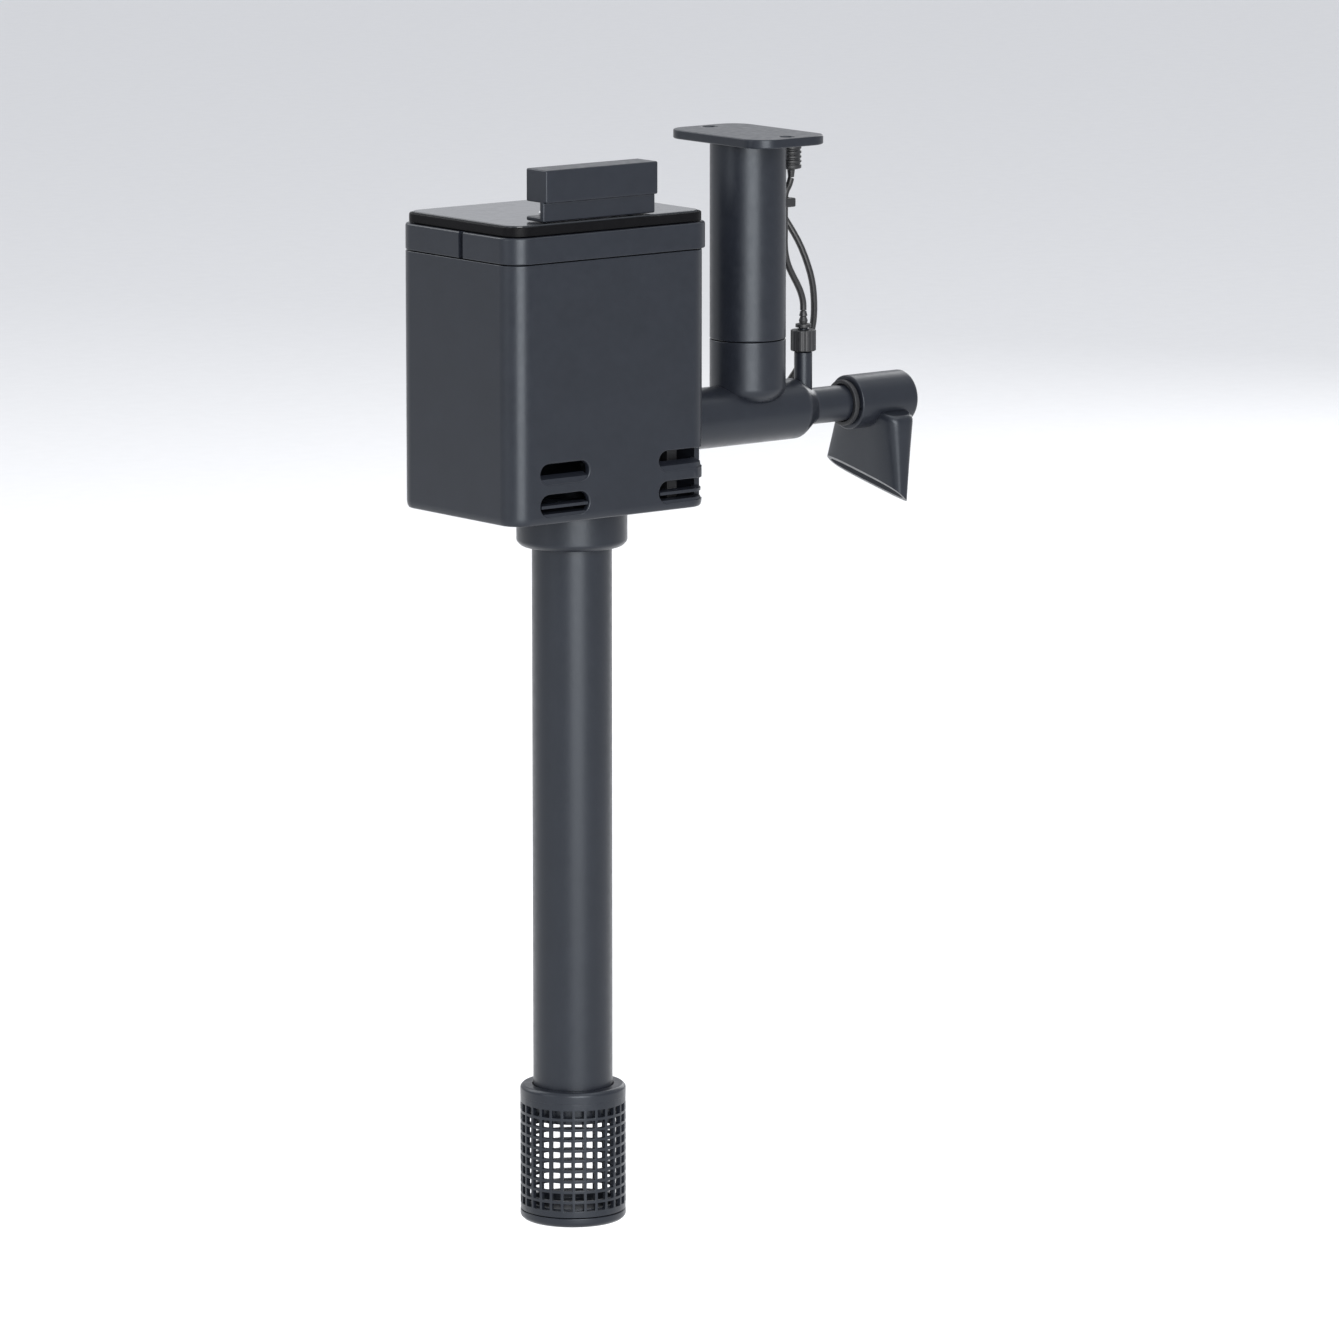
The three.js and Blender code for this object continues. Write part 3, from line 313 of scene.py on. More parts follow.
def dress(piece, finish, *nodes, body="canister", sharp=38):
    """Gives a piece its finish and its body, and hides the CAD nodes it stands for."""
    piece.data.materials.clear()
    piece.data.materials.append(finish.material)
    if piece.type == "MESH":
        piece.data.shade_smooth()
        piece.data.set_sharp_from_angle(angle=radians(sharp))
        modifier = piece.modifiers.new("even_shading", "WEIGHTED_NORMAL")
        modifier.keep_sharp = True
    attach(piece, body)
    if nodes:
        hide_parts(*nodes)
    return piece


# --- materials
class Finish:
    """A material, the name of its slot, and the nodes that feed its shader."""

    def __init__(self, name, slot, **settings):
        self.slot = slot
        self.material = bpy.data.materials.new(name)
        self.material.use_nodes = True
        self.tree = self.material.node_tree
        self.tree.nodes.clear()
        self.shader = self.node("BsdfPrincipled", {}, **settings)
        self.node("OutputMaterial", {"Surface": self.shader.outputs["BSDF"]})
        self.where = self.node("TexCoord", {}).outputs["Object"]

    def node(self, kind, links, **settings):
        """A node with its inputs linked or set, by name."""
        node = self.tree.nodes.new("ShaderNode" + kind)
        for key, source in links.items():
            self.tree.links.new(source, node.inputs[key])
        for key, value in settings.items():
            node.inputs[key.replace("_", " ")].default_value = value
        return node

    def noise(self, scale, detail=3.0, stretch=None):
        where = self.where
        if stretch:
            where = self.node("Mapping", {"Vector": where}, Scale=stretch).outputs["Vector"]
        return self.node("TexNoise", {"Vector": where}, Scale=scale, Detail=detail).outputs["Fac"]

    def bands(self, scale, distortion):
        """Level bands up the Z axis."""
        wave = self.node("TexWave", {"Vector": self.where}, Scale=scale, Distortion=distortion)
        wave.wave_type = "BANDS"
        wave.bands_direction = "Z"
        return wave.outputs["Fac"]

    def cells(self, scale, distance="EUCLIDEAN"):
        """How far each point is from the middle of its cell."""
        cells = self.node("TexVoronoi", {"Vector": self.where}, Scale=scale)
        cells.feature = "F1"
        cells.distance = distance
        return cells.outputs["Distance"]

    def color(self, value, *stops):
        """Colours the piece by a ramp of (position, colour) stops."""
        ramp = self.node("ValToRGB", {"Fac": value})
        elements = ramp.color_ramp.elements
        while len(elements) < len(stops):
            elements.new(0.5)
        for element, (position, color) in zip(elements, stops):
            element.position = position
            element.color = (*color, 1)
        self.tree.links.new(ramp.outputs["Color"], self.shader.inputs["Base Color"])

    def rough(self, value, low, high):
        """Roughness between the two values, over the middle of the value's range."""
        node = self.node("MapRange", {"Value": value}, From_Min=0.3, From_Max=0.7, To_Min=low, To_Max=high)
        self.tree.links.new(node.outputs["Result"], self.shader.inputs["Roughness"])

    def bump(self, *layers):
        """Layers of (height, depth in millimetres, strength), from the lowest one up."""
        under = {}
        for height, depth, strength in layers:
            node = self.node("Bump", {"Height": height, **under}, Strength=strength, Distance=depth * MM)
            under = {"Normal": node.outputs["Normal"]}
        self.tree.links.new(under["Normal"], self.shader.inputs["Normal"])


def toned(color, factor):
    return tuple(min(1, c * factor) for c in color)


def moulded(name, slot, color, roughness, grain=0.02, grain_scale=2600, spread=0.10, metallic=0.0,
            patches=90, specular=0.42, tint=(1, 1, 1)):
    """Moulded plastic or rubber: a fine grain, faint flow marks, and slightly uneven colour and gloss."""
    look = Finish(name, slot, Metallic=metallic, Specular_IOR_Level=specular, Specular_Tint=(*tint, 1))
    flow = look.noise(patches, 4)
    look.color(flow, (0.3, toned(color, 1 - spread)), (0.7, toned(color, 1 + spread)))
    look.rough(look.noise(patches * 4), roughness * 0.88, roughness * 1.14)
    waves = look.noise(patches * 0.5, 2)
    look.bump((waves, 0.05, 0.3), (look.noise(grain_scale, 2), grain, 0.8))
    return look


def bright_steel(color=(0.60, 0.61, 0.62), roughness=0.26):
    """Drawn or turned metal with fine lines along one direction."""
    look = Finish("bright_steel", "steel", Metallic=1.0)
    lines = look.noise(900, 3, (1, 1, 0.05))
    look.color(look.noise(160), (0.3, toned(color, 0.86)), (0.7, color))
    look.rough(lines, roughness * 0.8, roughness * 1.3)
    look.bump((lines, 0.012, 0.7))
    return look


def laminated_iron():
    """A stack of thin sheets, seen at their edges."""
    look = Finish("laminated_iron", "iron", Metallic=0.9)
    sheets = look.bands(320, 0.4)
    look.color(sheets, (0.25, (0.07, 0.07, 0.075)), (0.6, (0.24, 0.24, 0.25)))
    look.bump((sheets, 0.08, 0.8))
    look.rough(look.noise(700), 0.38, 0.6)
    return look


def copper_wire():
    """Enamelled wire wound round and round: narrow bands with a little wander."""
    look = Finish("enamelled_copper", "copper", Metallic=0.85)
    wires = look.bands(520, 1.6)
    look.color(wires, (0.2, (0.16, 0.045, 0.016)), (0.7, (0.60, 0.22, 0.08)))
    look.bump((wires, 0.12, 0.9))
    look.rough(look.noise(400, 2), 0.22, 0.36)
    return look


def circuit_board():
    """Green solder mask over faint tracks."""
    look = Finish("circuit_board", "board")
    tracks = look.cells(420, "CHEBYCHEV")
    look.color(tracks, (0.35, (0.010, 0.12, 0.045)), (0.42, (0.02, 0.20, 0.08)))
    look.bump((tracks, 0.04, 0.5))
    look.rough(look.noise(300, 2), 0.3, 0.45)
    return look


def open_foam():
    """Coarse filter sponge: open cells of about a millimetre."""
    look = Finish("open_cell_foam", "foam")
    pores = look.cells(900)
    # The pores are painted nearly black at their middles, where the bump sinks them deepest: painted shade
    # in the pores.
    look.color(pores, (0.1, (0.004, 0.022, 0.06)), (0.45, (0.03, 0.15, 0.34)), (0.8, (0.06, 0.24, 0.46)))
    look.bump((look.noise(220), 0.4, 0.6), (pores, 0.7, 1.0))
    look.rough(pores, 0.85, 0.98)
    return look


def fibre_floss():
    """Spun white fibres that lie mostly level."""
    look = Finish("fibre_floss", "floss", Sheen_Weight=0.3)
    mix = look.node("Math", {0: look.noise(700, 5, (0.12, 1, 1)), 1: look.noise(700, 5, (1, 0.12, 1))})
    mix.operation = "MAXIMUM"
    fibres = mix.outputs["Value"]
    look.color(fibres, (0.35, (0.52, 0.53, 0.50)), (0.65, (0.88, 0.88, 0.85)))
    look.bump((fibres, 0.6, 1.0))
    look.rough(fibres, 0.85, 0.97)
    return look


def carbon_mat():
    """A mat loaded with small grains of carbon."""
    look = Finish("carbon_mat", "carbon")
    grains = look.cells(650)
    look.color(grains, (0.15, (0.035, 0.035, 0.037)), (0.5, (0.010, 0.010, 0.011)))
    look.bump((grains, 0.5, 1.0))
    look.rough(look.noise(1200), 0.6, 0.95)
    return look


PLASTIC = moulded("satin_charcoal", "charcoal_plastic", (0.0080, 0.0093, 0.0130), 0.33, grain=0.012,
                  spread=0.07, specular=0.32, tint=(0.88, 0.94, 1.0))
GLOSS = moulded("glossy_lid_plate", "lid_plate", (0.012, 0.014, 0.017), 0.16, grain=0.002, spread=0.06,
                specular=0.38)
DARK = moulded("matte_dark_plastic", "dark_plastic", (0.008, 0.0085, 0.010), 0.46, grain=0.015)
RUBBER = moulded("black_rubber", "rubber", (0.005, 0.005, 0.0055), 0.62, grain=0.03, grain_scale=1500)
# Partly a real black trim and partly painted shade: darker and duller than the other rubber, so that it
# also stands for the shadow line between the lid and its plate.
TRIM_AND_PAINTED_SHADE = moulded("black_trim_and_painted_shade", "rubber", (0.0015, 0.0015, 0.002), 0.45, grain=0.01, grain_scale=1500,
               specular=0.08)
JACKET = moulded("lead_jacket", "lead", (0.006, 0.0062, 0.007), 0.42, grain=0.012, grain_scale=3500,
                 patches=160)
ROTOR = moulded("white_rotor_plastic", "rotor_plastic", (0.68, 0.70, 0.70), 0.34, grain=0.006, spread=0.04)
MAGNET = moulded("sintered_magnet", "magnet", (0.045, 0.043, 0.041), 0.5, grain=0.05, grain_scale=1800,
                 metallic=0.35)
CERAMIC = moulded("polished_ceramic", "ceramic", (0.83, 0.81, 0.76), 0.16, grain=0.002, spread=0.03)
STEEL = bright_steel()
IRON = laminated_iron()
COPPER = copper_wire()
BOARD = circuit_board()
FOAM = open_foam()
FLOSS = fibre_floss()
CARBON = carbon_mat()

# --- camera, floor and light
CAMERA_AT = (-38.3, 9.8, 2.75)  # azimuth, elevation, distance
LENS = 225
FLOOR_DROP = 0.03  # metres under the object
FLOOR_REACH = 12000


def aim(thing, target, azimuth, elevation, distance):
    """Puts a thing at this azimuth and elevation, in degrees, and turns it to the target."""
    a, e = radians(azimuth), radians(elevation)
    back = Vector((sin(a) * cos(e), -cos(a) * cos(e), sin(e)))
    thing.location = target + back * distance
    thing.rotation_mode = "QUATERNION"
    thing.rotation_quaternion = (-back).to_track_quat("-Z", "Y")


def make_camera(centre):
    camera = new_object("camera", bpy.data.cameras.new("camera"))
    camera.data.lens = LENS
    camera.data.clip_start, camera.data.clip_end = 0.1, 60
    aim(camera, centre, *CAMERA_AT)
    bpy.context.scene.camera = camera


def soft_box(name, centre, azimuth, elevation, distance, size, power):
    light = bpy.data.lights.new(name, "AREA")
    light.shape = "RECTANGLE"
    light.size, light.size_y = size
    light.energy = power
    aim(new_object(name, light), centre, azimuth, elevation, distance)


def make_floor():
    corners = [(x * FLOOR_REACH, y * FLOOR_REACH, 0) for x, y in ((-1, -1), (1, -1), (1, 1), (-1, 1))]
    floor = mesh_piece("studio_floor", corners, [[0, 1, 2, 3]])
    floor.location.z = cad_low.z - FLOOR_DROP
    pale = moulded("pale_floor", "floor", (0.80, 0.80, 0.80), 0.75, grain=0.05, spread=0.01)
    floor.data.materials.append(pale.material)


def make_world():
    world = bpy.data.worlds.new("studio")
    world.use_nodes = True
    background = world.node_tree.nodes["Background"]
    background.inputs["Color"].default_value = (0.93, 0.95, 1.0, 1)
    background.inputs["Strength"].default_value = 0.84
    bpy.context.scene.world = world


centre = (cad_low + cad_high) / 2
make_camera(centre)
make_floor()
make_world()
soft_box("key", centre, -24, 14, 1.7, (1.1, 1.5), 46)
soft_box("left_fill", centre, -92, 20, 2.0, (0.9, 1.4), 9)
soft_box("top", centre, 30, 78, 1.6, (1.4, 1.4), 12)
soft_box("rim", centre, 120, 25, 2.0, (0.8, 1.4), 9)
soft_box("behind", centre, 200, 40, 2.0, (0.9, 1.2), 12)
bpy.context.scene.view_settings.view_transform = "Standard"

# --- cords
LEAD = {"radius": 1.1, "length": 1.5}  # millimetres and metres
LEAD_ROUTE = [
    (13.2, 16.7, -13), (16.3, 19.2, -13.6), (20.6, 19.2, -18), (26.2, 15.4, -29.2), (32.6, 10.4, -44.5),
    (36.4, 10.2, -60), (36.4, 13.2, -74), (32, 17, -86), (23.5, 18.4, -93.4), (13, 16.4, -94.6),
    (3, 13.8, -93.4), (-4, 13, -92.8), (-8, 13, -92.8), (-12, 13, -92.8), (-16, 13.3, -92.8),
    (-24.5, 17.4, -93.3), (-33, 25.2, -93.2), (-41, 32.9, -92.4), (-50, 37, -90.4), (-58, 38.6, -86.2),
    (-62.2, 38.6, -79.3),
]
TAIL_ROUTE = [(-93.6, 38.6, -79.3), (-94, 38.6, -82.5), (-94.2, 38.6, -86), (-94.2, 38.6, -88.6)]
AIR_ROUTE = [
    (23.5, 0, -60.5), (23.3, -0.1, -58), (22.3, -0.3, -55), (20.6, -0.6, -52), (18.4, -0.9, -48.8),
    (16.2, -1.3, -45.4), (14.8, -1.5, -41.8), (14.3, -1.5, -38), (14.3, -1.5, -34), (14.3, -1.5, -30),
    (14.3, -1.5, -26), (14.3, -1.5, -22.6), (14.9, -1.5, -20.4), (16.2, -1.4, -18.4), (17, -1.4, -16.3),
]
COIL_CENTRE = (coil_low + coil_high) / 2
COIL_TURNS = 15
COIL_ROWS = 4
COIL_PITCH = 2.2
COIL_MIDDLE = 12.1  # radius of the middle of the bundle
COIL_HALF = COIL_PITCH * COIL_ROWS / 2
COIL_SHIFT = 0.25  # the last part of a turn, in which the lead moves over to its next place
GLAND_LINE = moved(z=-13) @ about_z(atan2(0.785, 0.62)) @ ALONG_X  # out through the cylinder's back


def coil_cells():
    """Offsets (radial, along Y) of each turn in the bundle: columns wound outwards and inwards in turn."""
    offsets = [(k - (COIL_ROWS - 1) / 2) * COIL_PITCH for k in range(COIL_ROWS)]
    cells = []
    for column, y in enumerate(offsets):
        rows = offsets[::-1] if column % 2 == 0 else offsets
        cells += [(row, y) for row in rows]
    return cells


def coil_points(start_angle=-8.0, end_angle=196.0, per_turn=16):
    """The coil's turns, from where the lead comes in to where its tail leaves. The axis is along Y."""
    cells = coil_cells()
    sweep = 360 * COIL_TURNS + end_angle - start_angle
    count = round(sweep / 360 * per_turn)
    points = []
    for k in range(count + 1):
        turn = sweep * k / count / 360
        index = min(int(turn), len(cells) - 2)
        share = 1.0
        if turn < len(cells) - 1:
            share = max(0.0, (turn - index - (1 - COIL_SHIFT)) / COIL_SHIFT)
        share = share * share * (3 - 2 * share)
        (r0, y0), (r1, y1) = cells[index], cells[index + 1]
        radius = COIL_MIDDLE + r0 + (r1 - r0) * share
        along = y0 + (y1 - y0) * share
        dx, dz = polar(radius, radians(start_angle) + 2 * pi * turn)
        points.append((COIL_CENTRE.x + dx, COIL_CENTRE.y + along, COIL_CENTRE.z + dz))
    return points


def ribs(radius, groove, start, pitch, length, count):
    """Profile of evenly spaced shallow grooves, each of the given length."""
    profile = []
    for k in range(count):
        z = start + k * pitch
        profile += [(radius, z), (groove, z + length / 4), (groove, z + length * 3 / 4),
                    (radius, z + length)]
    return profile


def cable_gland():
    """A tapered strain relief with flexing rings, on the back of the cylinder."""
    profile = [(0, 9.6), (2.0, 9.6), (2.0, 12.8), (3.4, 12.8), (3.4, 14.2), (2.6, 14.8)]
    for step in range(4):
        x, radius = 15.2 + step * 1.4, 2.4 - step * 0.2
        profile += [(radius, x), (radius, x + 0.7), (radius - 0.45, x + 0.8), (radius - 0.45, x + 1.3)]
    profile += [(1.35, 21.0), (0, 21.0)]
    piece = turned("strain_relief", profile, 0.15, SMALL, GLAND_LINE)
    return dress(piece, RUBBER, "cable_gland")


def connector():
    """The lead's low-voltage plug: a ribbed sleeve and a bright barrel."""
    x, y = TAIL_ROUTE[-1][:2]
    top, radius, groove = -88.9, 4.8, 4.35
    profile = [(0, top - 20), (4.2, top - 20, 0.6), (radius, top - 18.8),
               *ribs(radius, groove, top - 17.4, 1.6, 1.0, 5),
               (radius, top - 9), (3.8, top - 7.6), (2.6, top - 7), (1.55, top - 0.2), (1.4, top), (0, top)]
    body = turned("connector_sleeve", profile, 0.18, SMALL, moved(x, y))
    dress(body, DARK, "connector_body")
    low, radius, bore = top - 20.3, 2.75, 1.05
    profile = [(bore, low - 8), (2.5, low - 8), (radius, low - 7.5), (radius, low), (0, low), (0, low - 2),
               (bore, low - 2)]
    barrel = turned("connector_barrel_bright", profile, 0.12, SMALL, moved(x, y))
    dress(barrel, STEEL, "connector_barrel")
    return [body, barrel]


def coil_tie():
    """A soft strap round the bundle's turns at the foot of the coil."""
    half, thick, half_width = 5.65, 0.75, 1.8
    place = moved(COIL_CENTRE.x, COIL_CENTRE.y, COIL_CENTRE.z - COIL_MIDDLE) @ ALONG_X
    profile = [(0, -half_width), (0, half_width), (thick, half_width), (thick, -half_width)]
    strap = boxed("coil_strap", half, half, 2.2, profile, 0.3, True, place)
    return dress(strap, RUBBER, "coil_tie")


def power_lead():
    relief = cable_gland()
    route = LEAD_ROUTE + coil_points() + TAIL_ROUTE
    lead = tube_along("power_lead_whole", route, LEAD["radius"])
    dress(lead, JACKET, "power_lead", "lead_coil", "lead_tail")
    coil_tie()
    connector()


def air_tube():
    line = tube_along("air_tube", AIR_ROUTE, LEAD["radius"])
    dress(line, JACKET, "air_line")


power_lead()
air_tube()

# --- canister
DUCT_RADIUS, DUCT_BORE = 10.0, 8.0
SLOT_ROWS = [(can_low.z + 6, 7.0, "slat"), (can_low.z + 16.2, 6.4, "louvre")]  # middle, height, blades
SLOT_COLUMNS = [(CAN_X - 19.3, 19.4, CAN_WALL + 1), (CAN_X + 32.9, 27.9, 6.0)]  # middle, length, depth
SLOT_FLARE = [(-1.0, 0.55), (0, 0.55), (0.25, 0.2), (0.6, 0.0)]  # depth in the wall, and growth there


def slot_tool(x, z, length, height, depth):
    """Cutter for a slot with round ends and a flared rim."""
    sections = []
    for deep, grow in [*SLOT_FLARE, (depth, 0.0)]:
        half = height / 2 + grow
        ring = round_rectangle(length / 2 + grow, half, half - 0.02, 8)
        sections.append([(x + px, can_low.y + deep, z + pz) for px, pz in ring])
    return skinned("slot_tool", sections)


def canister_body():
    profile = [
        (2.6, can_low.z), (0, can_low.z, 2.6), (0, SEAM, 0.45), (CAN_WALL, SEAM, 0.45),
        (CAN_WALL, FLOOR_TOP, 1.2), (CAN_WALL + 1.3, FLOOR_TOP),
    ]
    body = boxed("canister_body", *CAN_HALF, CAN_CORNER, profile, 0.4, False, moved(CAN_X))
    tools = [slot_tool(x, z, length, height, depth)
             for z, height, _ in SLOT_ROWS for x, length, depth in SLOT_COLUMNS]
    tools.append(rod("intake_hole", 14.6, can_low.z - PAST, FLOOR_TOP + PAST, moved(INTAKE_X), ROUND))
    tools.append(rod("duct_hole", DUCT_RADIUS + GAP, -47, -37, DUCT_LINE, ROUND))
    cut(body, *tools)
    dress(body, PLASTIC, "canister_shell")


def louvre(profile, low, high):
    """A blade of the given (inset, height) profile that follows the wall, within a block."""
    blade = boxed("blade", *CAN_HALF, CAN_CORNER, profile, 0.15, True, moved(CAN_X))
    return combine(blade, "INTERSECT", [block("stretch", low, high)])


def slot_louvres():
    """Sloping blades inside the slots, which leave a narrow way for the water over each of them."""
    front, back = 0.35, CAN_WALL + 1.4
    blades = []
    for z, height, kind in SLOT_ROWS:
        low, high = z - height / 2, z + height / 2
        hood = [(front, low - 0.3), (back, low - 0.3), (back, z - 0.4), (front + 0.2, low + 1.5)]
        slat = [(front, z - 0.9), (back, z - 0.5), (back, z + 0.5), (front, z + 0.1)]
        sill = [(front, low - 0.3), (back, low - 0.3), (back, low + 1.2), (front + 0.2, low + 0.8)]
        for profile in ([hood] if kind == "louvre" else [slat, sill]):
            for x, length, depth in SLOT_COLUMNS:
                half = length / 2 - 0.4
                blades.append(louvre(profile, (x - half, can_low.y - PAST, low - PAST),
                                     (x + half, can_low.y + depth, high + PAST)))
    first = blades[0]
    first.name = "slot_louvres"
    with bpy.context.temp_override(active_object=first, selected_editable_objects=blades):
        bpy.ops.object.join()
    dress(first, PLASTIC)


canister_body()
slot_louvres()

# --- lid and grip
LID_X = (lid_low.x + lid_high.x) / 2
LID_HALF = ((lid_high - lid_low) / 2).xy
SKIRT_FOOT = SEAM + 0.3
SKIRT_TOP = -23.7
CEILING = -26.3  # underside of the lid, over its hollow
PLUG = (37.6, 28.6, 5.1)  # half sizes and corner
PLATEAU = (35.7, 26.7, 3.2)
HOLLOW = (35.8, 26.8, 3.3)
SLIT_Y, SLIT_HALF = -3.5, 1.15
GRIP_SCREW_X = [CAN_X - 20, CAN_X + 14]
GRIP_SCREW_Y = -22.0
SIDEWAYS = Matrix(((0, 0, 1, 0), (1, 0, 0, 0), (0, 1, 0, 0), (0, 0, 0, 1)))  # an outline of (y, z) along X


def lid_cover():
    skirt = slab("lid_cover", *LID_HALF, CAN_CORNER, 4, (SKIRT_FOOT, 0.35), (SKIRT_TOP, 0.9), 0.4,
                 moved(LID_X))
    plug = slab("plug", *PLUG, 2, (lid_low.z, 0.6), (SEAM + 1.2,), 0.3, moved(CAN_X))
    plateau = slab("plateau", *PLATEAU, 1, (SKIRT_TOP - PAST,), (lid_high.z,), 0.2, moved(CAN_X))
    profile = [(1, lid_low.z - PAST), (0, lid_low.z - PAST), (0, CEILING, 0.8), (1.5, CEILING)]
    hollow = boxed("hollow", *HOLLOW, profile, 0.3, False, moved(CAN_X))
    slit = block("slit", (lid_low.x - PAST, SLIT_Y - SLIT_HALF, SEAM - PAST),
                 (can_low.x + 1.3, SLIT_Y + SLIT_HALF, SKIRT_TOP + PAST))
    join(skirt, plug, plateau)
    cut(skirt, hollow, slit)
    dress(skirt, PLASTIC, "lid", body="lid")


def lid_trim_band_and_painted_shade():
    """The soft black band between the lid and its plate, with a lip that holds the plate's edge. Its black
    is partly painted shade: it also stands for the shadow line between the lid and the plate.
    """
    ledge = plate_high.z - 0.45
    profile = [(1.2, trim_low.z), (4.0, trim_low.z), (4.0, trim_high.z), (2.2, trim_high.z), (2.2, ledge),
               (1.2, ledge, 0.7)]
    band = boxed("lid_band_and_painted_shade", *LID_HALF, CAN_CORNER, profile, 0.2, True, moved(LID_X))
    dress(band, TRIM_AND_PAINTED_SHADE, "lid_trim", body="lid")


def lid_plate():
    profile = [(4.5, plate_low.z), (2.4, plate_low.z), (2.4, plate_high.z, 0.45), (4.5, plate_high.z)]
    plate = boxed("lid_plate_gloss", *LID_HALF, CAN_CORNER, profile, 0.2, False, moved(LID_X))
    dress(plate, GLOSS, "lid_top_plate", body="lid")


def lid_grip():
    """An upright web with a foot and a deeper head; fingertips go in under the head."""
    low, high = box_mm("lid_grip")
    face, web, foot_top, head_foot = low.y + 1.5, low.y + 3.5, -18.2, -13.5
    outline = [
        (face, low.z), (high.y, low.z), (high.y, foot_top), (web, foot_top), (web, head_foot),
        (high.y, head_foot), (high.y, high.z), (low.y, high.z), (low.y, head_foot), (face, head_foot),
    ]
    grip = bevelled(prism("grip_moulding", outline, low.x, high.x, SIDEWAYS), 0.55)
    cut(grip, *[rod("hole", 1.5, low.z - PAST, foot_top + PAST, moved(x, GRIP_SCREW_Y))
                for x in GRIP_SCREW_X])
    dress(grip, PLASTIC, "lid_grip", body="lid")


def grip_screw(number, x):
    """A pan-head screw with a cross recess."""
    low, high = box_mm(f"grip_screw_{number}")
    seat = high.z - 1.4
    thread, root, pitch = 1.1, 0.86, 0.75
    z = low.z + 1
    profile = [(0, low.z), (0.45, low.z), (thread, z)]
    while z + 0.9 < seat - 1:
        profile += [(thread, z + 0.1), (root, z + 0.35), (thread, z + 0.6)]
        z += pitch
    profile += [(1.05, seat - 0.6), (1.05, seat), (2.3, seat), (2.3, high.z - 0.5, 0.5), (1.5, high.z, 0.6),
                (0, high.z)]
    screw = turned(f"screw_{number}", profile, 0.08, SMALL, moved(x, GRIP_SCREW_Y))
    arms = [block("arm", (x - a, GRIP_SCREW_Y - b, high.z - 0.8), (x + a, GRIP_SCREW_Y + b, high.z + PAST))
            for a, b in ((1.25, 0.26), (0.26, 1.25))]
    cut(screw, *arms)
    dress(screw, STEEL, f"grip_screw_{number}", body="lid")


lid_cover()
lid_trim_band_and_painted_shade()
lid_plate()
lid_grip()
for number, x in enumerate(GRIP_SCREW_X, 1):
    grip_screw(number, x)

# --- intake tube and strainer
TUBE_RADIUS, TUBE_BORE = 13.0, 11.2
TUBE_FIT = TUBE_RADIUS + GAP
TUBE_GROOVE = (-121.6, -119.6, 12.1)  # low, high and radius
NECK_TOP = -112.9
WINDOWS_AROUND, WINDOW_ROWS, BAR = 28, 10, 0.95
WINDOWS_LOW, WINDOWS_HIGH = -346.9, -313.4
SHOULDER = -311.2  # underside of the strainer's collar
SOCKET_FOOT = -318.5


def intake():
    place = moved(INTAKE_X)
    neck, rim, wide, under = 14.3, 16.5, 18, can_low.z - GAP
    profile = [(TUBE_FIT, collar_low.z, 0.5), (rim, collar_low.z, 0.7), (wide, collar_low.z + 1.5, 0.7),
               (wide, under, 0.4), (neck, under), (neck, NECK_TOP), (TUBE_FIT, NECK_TOP)]
    collar = turned("collar_ring", profile, 0.3, ROUND, place)
    dress(collar, PLASTIC, "intake_collar")
    z0, z1, groove = TUBE_GROOVE
    profile = [(TUBE_BORE, tube_low.z), (TUBE_RADIUS, tube_low.z), (TUBE_RADIUS, z0), (groove, z0),
               (groove, z1), (TUBE_RADIUS, z1), (TUBE_RADIUS, tube_high.z, 0.8), (TUBE_BORE, tube_high.z)]
    tube = turned("intake_pipe", profile, 0.3, ROUND, place)
    dress(tube, PLASTIC, "intake_tube", body="intake")
    seal = round_ring("intake_seal", 12.68, 0.55, (z0 + z1) / 2, ROUND, place)
    dress(seal, RUBBER, "intake_oring", body="intake")


def lattice(name, inner, outer, low, high, place):
    """A round wall of square windows: bars stand upright and lie level, and each window is open."""
    pitch = (WINDOWS_HIGH - WINDOWS_LOW + BAR) / WINDOW_ROWS
    heights = [low]
    for row in range(WINDOW_ROWS):
        start = WINDOWS_LOW + row * pitch
        heights += [start, start + pitch - BAR]
    heights.append(high)
    bar_angle = BAR / outer
    step = 2 * pi / WINDOWS_AROUND
    angles = []
    for start in angles_round(WINDOWS_AROUND):
        angles += [start, start + bar_angle, start + (step + bar_angle) / 2]
    count, levels = len(angles), len(heights)
    points = [(*polar(radius, a), z) for radius in (inner, outer) for z in heights for a in angles]
    faces = []

    def face(*corners):
        faces.append([(side * levels + level) * count + k % count for side, level, k in corners])

    def solid(level, k):
        if not 0 <= level < levels - 1:
            return False
        return level % 2 == 0 or k % count % 3 == 0

    for level in range(levels - 1):
        for k in range(count):
            if not solid(level, k):
                continue
            up, on = level + 1, k + 1
            for side in (0, 1):
                face((side, level, k), (side, level, on), (side, up, on), (side, up, k))
            for beside, edge in ((level - 1, level), (up, up)):
                if not solid(beside, k):
                    face((0, edge, k), (0, edge, on), (1, edge, on), (1, edge, k))
            for beside, edge in ((k - 1, k), (on, on)):
                if not solid(level, beside):
                    face((0, level, edge), (0, up, edge), (1, up, edge), (1, level, edge))
    return mesh_piece(name, points, faces, place)


